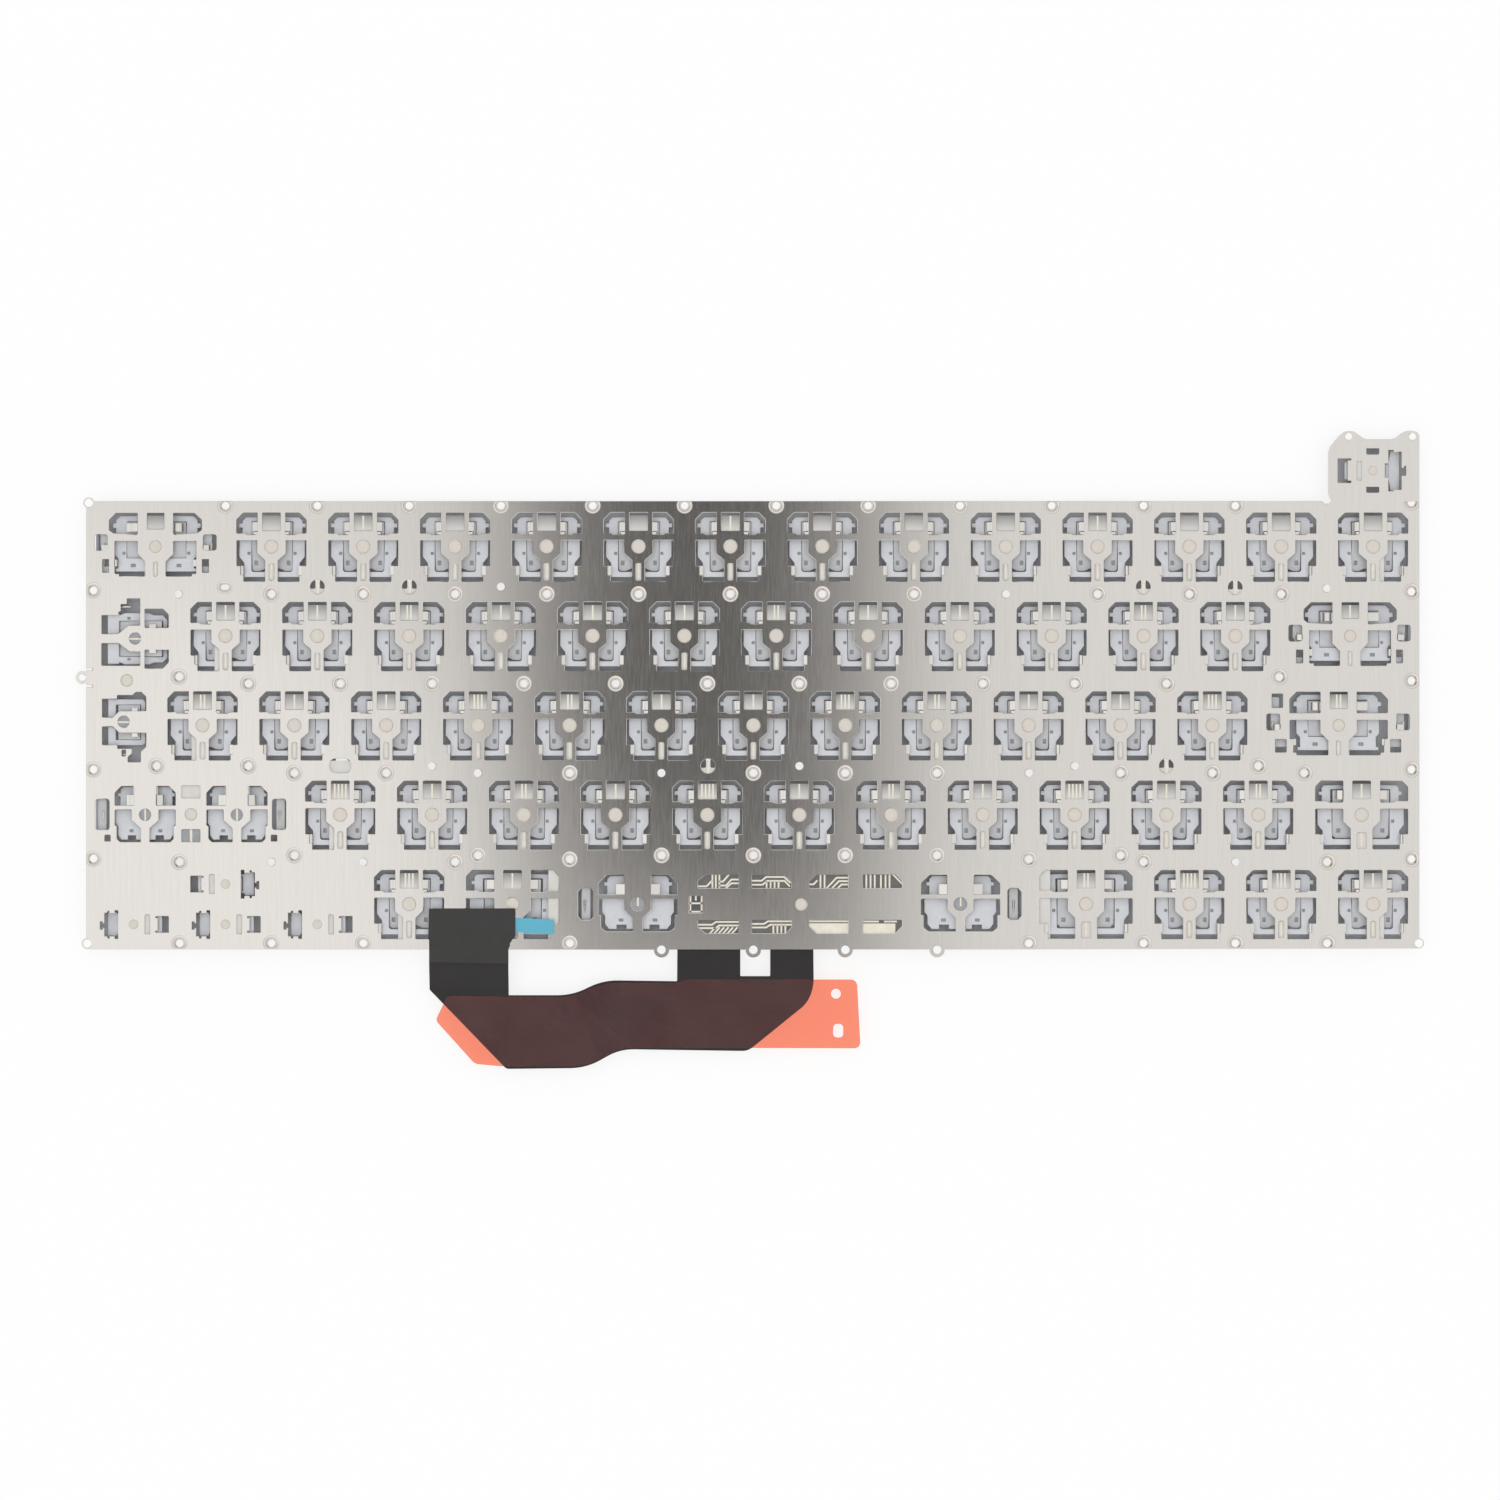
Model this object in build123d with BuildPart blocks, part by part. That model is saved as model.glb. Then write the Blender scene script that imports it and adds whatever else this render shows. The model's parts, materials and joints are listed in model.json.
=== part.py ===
from build123d import *
import os

os.makedirs("parts", exist_ok=True)

# A laptop replacement keyboard in millimetres, lying keys down with its steel back up.
# It rests on z = 0. +X runs right and +Y up as the back is looked at, so each row is read
# here from its right-hand key, and places along a row are counted in key units from its edge.

# Key grid
unit = 19.0
row_pitch = 18.5
row_units = 14.5
cap_gap = 2.4
half_cap_gap = 0.6
cap_corner = 1.0
cap_draft = 8.0
esc_height = 10.6

# Heights of the layers, from the keycaps up to the steel back
cap_height = 1.1
mechanism_height = 1.5
membrane_thickness = 0.25
plate_thickness = 0.3

# Scissor mechanisms, one or two under each key
frame_thickness = 0.5
frame_clearance = 0.05
frame_width = 12.2
wide_frame_width = 16.2
frame_length = 12.6
slim_frame_width = 5.6
slim_inner_arm = 0.25
twin_frame_length = 10.6
outer_arm = 1.65
outer_cross = 1.1
inner_arm = 2.0
frame_side_gap = 0.2

# Mechanisms that don't stand at their key's centre
space_mechanism_reach = 33.4
return_units = 0.515
return_drop = 0.55
return_foot_units = 0.39
return_foot_rise = 0.65
return_dome_units = 0.425

# Rubber domes
dome_base_radius = 1.9
dome_tip_share = 0.6
dome_sides = 6
slim_dome_radius = 0.75

# Windows punched in the plate, measured from a mechanism's centre
window_top = 7.05
window_outer = 7.25
wide_window_outer = 9.6
window_inner = 2.9
wide_window_inner = 3.8
bridge_top = 2.95
bridge_bottom = 1.2
lower_window_bottom = 7.15
short_window_bottom = 6.1
lower_window_outer = 6.5
wide_lower_outer = 8.5
lower_window_inner = 2.0
wide_lower_inner = 2.7
film_window_width = 3.6
film_window_bottom = 3.5

# Windows of the keys with two mechanisms or a turned one: left, right, low, high
shift_windows = [(2.3, 6.3, 1.9, 5.95), (0.95, 6.3, -5.65, 1.05)]
space_windows = [(2.8, 8.1, 2.0, 6.0), (1.0, 8.1, -5.65, 1.1)]
return_windows = [(2.3, 6.2, 2.0, 6.95), (1.0, 5.5, -6.95, 1.05)]
return_foot_windows = [(-4.5, 4.6, 0.95, 5.5), (-4.5, 4.6, -5.0, -0.95)]
slim_windows = [(-7.1, -4.4, 1.75), (-3.25, -2.25, 2.0)]
slim_far_window = (3.2, 6.1)
slim_far_half = 2.95
esc_far_half = 4.2
shift_middle_half = 1.9
shift_middle_windows = [(3.3, 5.95), (-5.7, -3.1)]
trace_slot_width = 8.2
trace_slot_pitch = 11.3
trace_slots = [(3.35, 6.1), (-6.0, -3.3)]
bar_window_width = 2.8
bar_window_low = -0.9
bar_window_high = 2.5
tall_bar_window_half = 3.2

# Plate outline and its screw holes
plate_margin = 0.15
edge_inset = 1.5
end_inset = 1.0
screw_hole_radius = 0.7
top_screw_units = (1.5, 12.5)
side_screw_rows = (0, 3)
foot_screw_units = (6.25, 7.25, 8.25, 9.25)
lug_radius = 1.4
foot_lug_radius = 1.65
left_lug_reach = 2.5
left_lug_rise = 0.65
right_lug_reach = 1.1
tab_height = 14.6
tab_width = 18.9
tab_lug_radius = 1.25
tab_lug_pitch = 13.2
tab_lug_rise = 1.8

# Flat cable with its three tails, its cover, its release liner and a marker tape
cable_thickness = 0.15
cover_thickness = 0.12
liner_thickness = 0.08
tape_thickness = 0.1
cable_reach = 24.8
cable_left = -66.4
cable_right = 13.2
tail_width = 16.4
tail_landing = 8.3
tail_overhang = 3.0
middle_tail_left = -15.0
middle_tail_width = 13.0
right_tail_width = 8.9
tail_underlap = 1.6
cable_slant = 15.9
ribbon_neck_left = -36.5
ribbon_neck_slant = 6.4
ribbon_top = 9.5
ribbon_neck_top = 6.6
fork_depth = 5.6
ribbon_waist = 21.0
ribbon_foot_right = -33.9
ribbon_shoulder = 11.2
ribbon_foot_bend = 0.0
cable_corner = 1.0
cable_corner_rise = 3.2
cover_width = 17.9
cover_taper = 1.3
liner_inset = 0.4
liner_reach = 9.7
liner_low = 20.5
liner_corner = 1.5
liner_start = 3.7
liner_side = 1.2
liner_side_drop = 14.8
liner_foot = 6.0
liner_foot_rise = 1.2
liner_step = 1.0
liner_hole_radius = 1.0
liner_hole_inset = 5.1
liner_hole_drop = 9.2
liner_slot_inset = 4.6
liner_slot_drop = 16.9
liner_slot_width = 2.1
liner_slot_height = 2.9
tape_width = 8.2
tape_depth = 3.4
tape_rise = 3.1

# Stabiliser bars under the wide keys
bar_radius = 0.3
bar_inset = 1.9
bar_run = 7.1
bar_end = 0.8

# Membrane
film_edge = 0.5
film_strip = 3.9
film_slot_height = 14.6
film_screw_gap = 0.5
film_part_gap = 0.3
twin_film_windows = [(1.0, 6.4, -5.8, 6.1)]
return_film_windows = [(1.0, 6.2, -6.95, 6.95)]

# Worked out from the sizes above
membrane_z = cap_height + mechanism_height
plate_z = membrane_z + membrane_thickness
back_z = plate_z + plate_thickness
frame_z = cap_height + mechanism_height / 2
grid_width = row_units * unit
plate_depth = 5 * row_pitch + 2 * plate_margin
grid_left = left_lug_reach - (grid_width + left_lug_reach + right_lug_reach) / 2
plate_bottom = cable_reach - (tab_height + plate_depth + cable_reach) / 2
plate_top = plate_bottom + plate_depth
plate_left = grid_left - plate_margin
plate_right = grid_left + grid_width + plate_margin
cap_depth = row_pitch - cap_gap
half_cap_depth = (cap_depth - half_cap_gap) / 2
half_key_shift = (half_cap_depth + half_cap_gap) / 2


def grid_x(units):
    return grid_left + units * unit


def row_y(row):
    return plate_top - plate_margin - (row + 0.5) * row_pitch


def boundary_y(row):
    return row_y(row) - row_pitch / 2


def single_keys(names):
    return [("key_" + name, 1) for name in names]


# Each row's keys and their widths in units
rows = [
    [("delete", 1.5), ("equal", 1), ("minus", 1), *single_keys("0987654321"), ("section", 1)],
    [("return", 1), ("bracket_right", 1), ("bracket_left", 1), *single_keys("poiuytrewq"), ("tab", 1.5)],
    [("return_foot", 0.75), ("backslash", 1), ("quote", 1), ("semicolon", 1)]
    + single_keys("lkjhgfdsa") + [("caps_lock", 1.75)],
    [("shift_right", 2.25), ("slash", 1), ("period", 1), ("comma", 1), *single_keys("mnbvcxz")]
    + [("grave", 1), ("shift_left", 1.25)],
    [("arrow_right", 1), ("arrow_down", 1), ("arrow_left", 1), ("option_right", 1)]
    + [("command_right", 1.25), ("space", 5), ("command_left", 1.25)]
    + [("option_left", 1), ("control", 1), ("fn", 1)],
]
# Keycaps that share one node, because the library part has a limit on its pieces
shared_caps = ["equal", "minus", "section", "bracket_right", "bracket_left", "backslash"]
shared_caps += ["quote", "semicolon", "slash", "period", "comma", "grave", "option_right"]
shared_caps += ["arrow_right", "arrow_down", "arrow_left", "arrow_up"]

# Keycap places: name, centre and size
caps = {}
for row, keys in enumerate(rows):
    start = 0
    for name, width in keys:
        place = (grid_x(start + width / 2), row_y(row))
        caps[name] = (*place, width * unit - cap_gap, cap_depth)
        start += width
for name in ("arrow_right", "arrow_down", "arrow_left"):
    x, y, width, depth = caps[name]
    caps[name] = (x, y - half_key_shift, width, half_cap_depth)
down_x, down_y, down_width, down_depth = caps["arrow_down"]
caps["arrow_up"] = (down_x, down_y + 2 * half_key_shift, down_width, down_depth)
esc_y = row_y(0) + cap_depth / 2 + cap_gap + esc_height / 2
caps["esc"] = (grid_x(row_units - 0.5), esc_y, unit - cap_gap, esc_height)

# Mechanism places, by kind
slim_names = ["esc", "arrow_up", "arrow_right", "arrow_down", "arrow_left"]
wide_names = ["delete", "tab", "caps_lock", "shift_left", "command_left", "command_right"]
twin_reach = {"shift_right": unit / 2, "space": space_mechanism_reach}
own_names = [*slim_names, *wide_names, *twin_reach, "return", "return_foot"]
narrow_cells = [cap[:2] for name, cap in caps.items() if name not in own_names]
wide_cells = [caps[name][:2] for name in wide_names]
slim_cells = [caps[name][:2] for name in slim_names]
shift_x, shift_y = caps["shift_right"][:2]
space_x, space_y = caps["space"][:2]
shift_cells = [(shift_x + side * twin_reach["shift_right"], shift_y) for side in (-1, 1)]
space_cells = [(space_x + side * twin_reach["space"], space_y) for side in (-1, 1)]
return_cell = (grid_x(return_units), row_y(1) - return_drop)
return_foot_cell = (grid_x(return_foot_units), row_y(2) + return_foot_rise)


def save(piece, name):
    piece.part.label = name
    export_step(piece.part, "parts/" + name + ".step")


# Keycaps: shallow tapered plates, their finger faces on the surface
def cap_outline(name):
    x, y, width, depth = caps[name]
    with BuildSketch(Plane.XY.offset(cap_height)) as outline:
        with Locations((x, y)):
            Rectangle(width, depth)
        chamfer(outline.vertices(), cap_corner)
    return outline.sketch


def return_outline():
    x, y, width, depth = caps["return"]
    foot_x, foot_y, foot_width, foot_depth = caps["return_foot"]
    left = x - width / 2
    right = x + width / 2
    low = y - depth / 2
    foot_right = foot_x + foot_width / 2
    foot_low = foot_y - foot_depth / 2
    with BuildSketch(Plane.XY.offset(cap_height)) as outline:
        with BuildLine():
            Polyline(
                (left, low + depth),
                (right, low + depth),
                (right, low),
                (foot_right, low),
                (foot_right, foot_low),
                (left, foot_low),
                close=True,
            )
        make_face()
        chamfer(outline.vertices(), cap_corner)
    return outline.sketch


single_caps = [name for name in caps if name not in shared_caps and name != "return_foot"]
for name in single_caps:
    with BuildPart() as keycap:
        outline = return_outline() if name == "return" else cap_outline(name)
        extrude(outline, amount=cap_height, dir=(0, 0, -1), taper=cap_draft)
    save(keycap, name)

with BuildPart() as other_keycaps:
    for name in shared_caps:
        extrude(cap_outline(name), amount=cap_height, dir=(0, 0, -1), taper=cap_draft)
save(other_keycaps, "other_keycaps")


# Scissor frames: an outer fork and an inner frame that cross at mid height, tilted opposite ways
def frame_tilt(length):
    rise = mechanism_height / 2 - frame_thickness / 2 - frame_clearance
    return 2 * rise / length


def frame_plane(length, direction):
    slope = direction * frame_tilt(length)
    return Plane((0, 0, frame_z), x_dir=(1, 0, 0), z_dir=(0, slope, 1))


def outer_frame(width, length):
    with BuildPart() as frame:
        with BuildSketch(frame_plane(length, 1)):
            Rectangle(width, length)
            with Locations((0, -outer_cross / 2)):
                Rectangle(width - 2 * outer_arm, length - outer_cross, mode=Mode.SUBTRACT)
        extrude(amount=frame_thickness / 2, both=True)
    return frame.part


def inner_frame(width, length, arm):
    inner_width = width - 2 * outer_arm - 2 * frame_side_gap
    inner_length = length - 2 * outer_cross - 2 * frame_side_gap
    with BuildPart() as frame:
        with BuildSketch(frame_plane(length, -1)):
            Rectangle(inner_width, inner_length)
            Rectangle(inner_width - 2 * arm, inner_length - 2 * arm, mode=Mode.SUBTRACT)
        extrude(amount=frame_thickness / 2, both=True)
    return frame.part


def flat_places(cells, turn=0):
    return [Location((x, y, 0), (0, 0, turn)) for x, y in cells]


frame_groups = [
    (flat_places(narrow_cells), frame_width, frame_length, inner_arm),
    (flat_places(wide_cells), wide_frame_width, frame_length, inner_arm),
    (flat_places(shift_cells + space_cells), frame_width, twin_frame_length, inner_arm),
    (flat_places([return_cell, return_foot_cell], -90), frame_width, twin_frame_length, inner_arm),
    (flat_places(slim_cells, 90), slim_frame_width, frame_length, slim_inner_arm),
]

with BuildPart() as scissor_outer_frames:
    for places, width, length, arm in frame_groups:
        with Locations(*places):
            add(outer_frame(width, length))
save(scissor_outer_frames, "scissor_outer_frames")

with BuildPart() as scissor_inner_frames:
    for places, width, length, arm in frame_groups:
        with Locations(*places):
            add(inner_frame(width, length, arm))
save(scissor_inner_frames, "scissor_inner_frames")


# Rubber domes: one under each key's middle, standing on the membrane
shift_middle = (shift_x, shift_y)
space_middle = (space_x, space_y)
return_middle = (grid_x(return_dome_units), boundary_y(1))
dome_cells = narrow_cells + wide_cells + [shift_middle, space_middle, return_middle]
dome_height = mechanism_height - frame_clearance


def dome(base_radius):
    tip_radius = base_radius * dome_tip_share
    with BuildPart() as piece:
        with BuildSketch(Plane.XY.offset(membrane_z)):
            RegularPolygon(base_radius, dome_sides, major_radius=False)
        extrude(amount=dome_height, dir=(0, 0, -1))
        for side in range(dome_sides):
            outward = Vector(1, 0, 0).rotate(Axis.Z, (side + 0.5) * 360 / dome_sides)
            slant = outward * dome_height - Vector(0, 0, base_radius - tip_radius)
            foot = outward * base_radius + Vector(0, 0, membrane_z)
            split(bisect_by=Plane(foot, z_dir=slant), keep=Keep.BOTTOM)
    return piece.part


with BuildPart() as rubber_domes:
    with Locations(*dome_cells):
        add(dome(dome_base_radius))
    with Locations(*slim_cells):
        add(dome(slim_dome_radius))
save(rubber_domes, "rubber_domes")


# Stabiliser bars: bent wires under the wide keys, low at the keycap and raised at their ends
def stabiliser(reach):
    low = cap_height + bar_radius + frame_clearance
    high = membrane_z - bar_radius - frame_clearance
    with BuildPart() as bar:
        with BuildLine() as route:
            Polyline(
                (-reach, bar_end, high),
                (-reach, -bar_run, low),
                (reach, -bar_run, low),
                (reach, bar_end, high),
            )
        with BuildSketch(Plane(route.line @ 0, z_dir=route.line % 0)) as section:
            RegularPolygon(bar_radius, 6)
        sweep(section.sketch, path=route.line, transition=Transition.RIGHT)
    return bar.part


bar_names = ["delete", "tab", "caps_lock", "shift_right", "space"]
bar_reaches = {name: caps[name][2] / 2 - bar_inset for name in bar_names}
return_depth = caps["return"][1] - caps["return_foot"][1] + cap_depth
return_bar_y = (caps["return"][1] + caps["return_foot"][1]) / 2
return_bar_place = Location((return_middle[0], return_bar_y, 0), (0, 0, -90))

with BuildPart() as stabiliser_bars:
    for name, reach in bar_reaches.items():
        with Locations(caps[name][:2]):
            add(stabiliser(reach))
    with Locations(return_bar_place):
        add(stabiliser(return_depth / 2 - bar_inset))
save(stabiliser_bars, "stabiliser_bars")


# Windows are cut by their left, right, low and high sides from a mechanism's centre
def cut_windows(places, windows):
    for left, right, low, high in windows:
        with Locations(*places):
            with Locations(((left + right) / 2, (low + high) / 2)):
                Rectangle(right - left, high - low, mode=Mode.SUBTRACT)


def both_sides(windows):
    return windows + [(-right, -left, low, high) for left, right, low, high in windows]


def cut_cell(cells, inner, outer, lower_inner, lower_outer, lower_bottom):
    upper = (inner, outer, bridge_top, window_top)
    lower = (lower_inner, lower_outer, -lower_bottom, bridge_bottom)
    film = (-film_window_width / 2, film_window_width / 2, film_window_bottom, window_top)
    cut_windows(cells, both_sides([upper, lower]) + [film])


def slim_sides(direction, far_half):
    windows = [*slim_windows, (*slim_far_window, far_half)]
    sides = [sorted((direction * left, direction * right)) for left, right, half in windows]
    halves = [half for left, right, half in windows]
    return [(*side, -half, half) for side, half in zip(sides, halves)]


def cut_slim_windows():
    cut_windows([caps["esc"][:2]], slim_sides(1, esc_far_half))
    cut_windows([caps["arrow_up"][:2]], slim_sides(1, slim_far_half))
    cut_windows(turned_slims, slim_sides(-1, slim_far_half))


# Screw holes at the plate's edges and lugs
top_screws = [(grid_x(units), plate_top - end_inset) for units in top_screw_units]
side_screw_x = (plate_left + edge_inset, plate_right - edge_inset)
side_screws = [(x, boundary_y(row)) for x in side_screw_x for row in side_screw_rows]
foot_screws = [(grid_x(units), plate_bottom) for units in foot_screw_units]
tab_lug_y = plate_top + tab_height - tab_lug_radius
tab_lugs = [(plate_right - edge_inset - drop, tab_lug_y) for drop in (0, tab_lug_pitch)]
left_lug = (plate_left + plate_margin - left_lug_reach + lug_radius, boundary_y(1) + left_lug_rise)
right_lug_radius = right_lug_reach - plate_margin
right_lug = (plate_right, plate_bottom + right_lug_radius)
screws = [*top_screws, *side_screws, *foot_screws, *tab_lugs, left_lug]

short_cells = [caps[name][:2] for name in ("delete", "tab", "caps_lock")]
long_wide_cells = [cell for cell in wide_cells if cell not in short_cells]
short_bars = [bar_reaches[name] for name in ("delete", "tab", "caps_lock")]
turned_slims = [caps[name][:2] for name in ("arrow_right", "arrow_down", "arrow_left")]
return_places = [Location((*return_cell, 0), (0, 0, -90))]


def plate_outline():
    with Locations(((plate_left + plate_right) / 2, (plate_top + plate_bottom) / 2)):
        Rectangle(plate_right - plate_left, plate_depth)
    tab_top = plate_top + tab_height - tab_lug_rise
    with Locations((plate_right - tab_width / 2, (tab_top + plate_bottom) / 2)):
        Rectangle(tab_width, tab_top - plate_bottom)


def bar_windows(reach, low, high):
    half = bar_window_width / 2
    return both_sides([(reach - half, reach + half, low, high)])


with BuildPart() as base_plate:
    with BuildSketch(Plane.XY.offset(plate_z)) as sheet:
        plate_outline()
        with Locations(*tab_lugs):
            Circle(tab_lug_radius)
        with Locations(left_lug):
            Circle(lug_radius)
        with Locations(right_lug):
            Circle(right_lug_radius)
        with Locations(*foot_screws):
            Circle(foot_lug_radius)
        cut_cell(narrow_cells, window_inner, window_outer, lower_window_inner,
                 lower_window_outer, lower_window_bottom)
        cut_cell(long_wide_cells, wide_window_inner, wide_window_outer, wide_lower_inner,
                 wide_lower_outer, lower_window_bottom)
        cut_cell(short_cells, wide_window_inner, wide_window_outer, wide_lower_inner,
                 wide_lower_outer, short_window_bottom)
        for cell, reach in zip(short_cells, short_bars):
            cut_windows([cell], bar_windows(reach, bar_window_low, bar_window_high))
        for name in ("shift_right", "space"):
            half = tall_bar_window_half
            cut_windows([caps[name][:2]], bar_windows(bar_reaches[name], -half, half))
        cut_windows(shift_cells, both_sides(shift_windows))
        cut_windows(space_cells, both_sides(space_windows))
        middle_half = shift_middle_half
        cut_windows([shift_middle], [(-middle_half, middle_half, *span) for span in shift_middle_windows])
        for count in range(4):
            middle = (count - 1.5) * trace_slot_pitch
            half = trace_slot_width / 2
            cut_windows([space_middle], [(middle - half, middle + half, *span) for span in trace_slots])
        cut_windows(return_places, both_sides(return_windows))
        cut_windows([return_foot_cell], return_foot_windows)
        cut_slim_windows()
        with Locations(*screws):
            Circle(screw_hole_radius, mode=Mode.SUBTRACT)
    extrude(amount=plate_thickness)
save(base_plate, "base_plate")


# Membrane: a film that stays inside the edge screws, and a strip of its own under the escape tab,
# with an opening between neighbouring keys and cut-outs at the others
film_inset = screw_hole_radius + film_screw_gap
film_left, film_right = side_screw_x[0] + film_inset, side_screw_x[1] - film_inset
film_top = plate_top - end_inset - film_inset
tab_film_left = plate_right - tab_width + film_edge
tab_film_top = plate_top + tab_height - tab_lug_rise - film_edge


def film_sheet(left, right, low, high):
    with Locations(((left + right) / 2, (low + high) / 2)):
        Rectangle(right - left, high - low)


def film_openings(row):
    centres = [cell for cell in narrow_cells + wide_cells if abs(cell[1] - row_y(row)) < 1]
    centres.sort()
    half_strip = film_strip / 2
    openings = []
    first_x, first_y = centres[0]
    openings.append((first_x - window_outer, first_x - half_strip))
    for (left_x, left_y), (right_x, right_y) in zip(centres, centres[1:]):
        if right_x - left_x < 2 * unit:
            openings.append((left_x + half_strip, right_x - half_strip))
        else:
            openings.append((left_x + half_strip, left_x + window_outer))
            openings.append((right_x - window_outer, right_x - half_strip))
    last_x, last_y = centres[-1]
    openings.append((last_x + half_strip, last_x + window_outer))
    return openings


with BuildPart() as membrane_circuit:
    with BuildSketch(Plane.XY.offset(membrane_z)) as film:
        film_sheet(film_left, film_right, plate_bottom + film_edge, film_top)
        film_sheet(tab_film_left, plate_right - film_edge, film_top + film_part_gap, tab_film_top)
        for row in range(5):
            spans = film_openings(row)
            half = film_slot_height / 2
            cut_windows([(0, row_y(row))], [(left, right, -half, half) for left, right in spans])
        cut_windows(shift_cells + space_cells, both_sides(twin_film_windows))
        cut_slim_windows()
        cut_windows(return_places, both_sides(return_film_windows))
        cut_windows([return_foot_cell], return_foot_windows)
        with Locations(*foot_screws):
            RegularPolygon(screw_hole_radius + film_screw_gap, 8, major_radius=False, mode=Mode.SUBTRACT)
    extrude(amount=membrane_thickness)
save(membrane_circuit, "membrane_circuit")

# Flat cable: a ribbon whose left tail climbs onto the back and whose others run under the plate
cable_z = membrane_z - cable_thickness
tail_right = cable_left + tail_width
middle_tail_right = middle_tail_left + middle_tail_width
right_tail_left = cable_right - right_tail_width
tail_root = plate_bottom + tail_underlap

with BuildPart() as ribbon_cable:
    with BuildSketch(Plane.XY.offset(cable_z)):
        with BuildLine():
            Polyline(
                (cable_left, plate_bottom - ribbon_top),
                (cable_left + cable_slant, plate_bottom - cable_reach),
                (ribbon_foot_right, plate_bottom - cable_reach),
                (ribbon_foot_right + ribbon_neck_slant, plate_bottom - ribbon_waist),
                (ribbon_foot_bend, plate_bottom - ribbon_waist),
                (cable_right - cable_corner, plate_bottom - ribbon_shoulder),
                (cable_right, plate_bottom - ribbon_shoulder + cable_corner_rise),
                (cable_right, tail_root),
                (right_tail_left, tail_root),
                (right_tail_left, plate_bottom - fork_depth),
                (middle_tail_right, plate_bottom - fork_depth),
                (middle_tail_right, tail_root),
                (middle_tail_left, tail_root),
                (middle_tail_left, plate_bottom - ribbon_neck_top),
                (ribbon_neck_left + ribbon_neck_slant, plate_bottom - ribbon_neck_top),
                (ribbon_neck_left, plate_bottom - ribbon_top),
                close=True,
            )
        make_face()
    extrude(amount=cable_thickness)
    with BuildSketch(Plane.YZ.offset(cable_left)):
        with BuildLine():
            Polyline(
                (plate_bottom - ribbon_top, cable_z),
                (plate_bottom - tail_overhang, back_z),
                (plate_bottom + tail_landing, back_z),
                (plate_bottom + tail_landing, back_z + cable_thickness),
                (plate_bottom - tail_overhang, back_z + cable_thickness),
                (plate_bottom - ribbon_top, cable_z + cable_thickness),
                close=True,
            )
        make_face()
    extrude(amount=tail_width)
save(ribbon_cable, "ribbon_cable")

with BuildPart() as cable_tail_cover:
    with BuildSketch(Plane.XY.offset(back_z + cable_thickness)):
        with BuildLine():
            Polyline(
                (cable_left, plate_bottom + tail_landing),
                (cable_left + cover_width, plate_bottom + tail_landing),
                (cable_left + cover_width, plate_bottom + tail_landing / 3),
                (tail_right, plate_bottom + cover_taper),
                (tail_right, plate_bottom - tail_overhang),
                (cable_left, plate_bottom - tail_overhang),
                close=True,
            )
        make_face()
    extrude(amount=cover_thickness)
save(cable_tail_cover, "cable_tail_cover")

liner_z = membrane_z
liner_top_y = plate_bottom - ribbon_neck_top + liner_inset
liner_right = cable_right + liner_reach
with BuildPart() as release_liner:
    with BuildSketch(Plane.XY.offset(liner_z)) as liner:
        with BuildLine():
            Polyline(
                (cable_left + liner_start, plate_bottom - ribbon_top - liner_inset),
                (cable_left + liner_side, plate_bottom - liner_side_drop),
                (cable_left + cable_slant - liner_foot, plate_bottom - cable_reach + liner_foot_rise),
                (ribbon_foot_right, plate_bottom - cable_reach + liner_inset),
                (ribbon_foot_right + ribbon_neck_slant, plate_bottom - liner_low),
                (liner_right, plate_bottom - liner_low),
                (liner_right, liner_top_y),
                (ribbon_neck_left + ribbon_neck_slant, liner_top_y - liner_step),
                (ribbon_neck_left, plate_bottom - ribbon_top - liner_inset),
                close=True,
            )
        make_face()
        low_corner = liner.vertices().group_by(Axis.X)[-1]
        chamfer(low_corner, liner_corner)
        with Locations((liner_right - liner_hole_inset, plate_bottom - liner_hole_drop)):
            Circle(liner_hole_radius, mode=Mode.SUBTRACT)
        with Locations((liner_right - liner_slot_inset, plate_bottom - liner_slot_drop)):
            Rectangle(liner_slot_width, liner_slot_height, mode=Mode.SUBTRACT)
    extrude(amount=liner_thickness)
save(release_liner, "release_liner")

with BuildPart() as marker_tape:
    with BuildSketch(Plane.XY.offset(back_z)):
        with Locations((cable_left + cover_width, plate_bottom + tape_rise)):
            Rectangle(tape_width, tape_depth, align=(Align.MIN, Align.MIN))
    extrude(amount=tape_thickness)
save(marker_tape, "marker_tape")
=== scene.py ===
import bpy
import bmesh
import json
import numpy as np
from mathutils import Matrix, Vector
from mathutils.geometry import delaunay_2d_cdt


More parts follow.
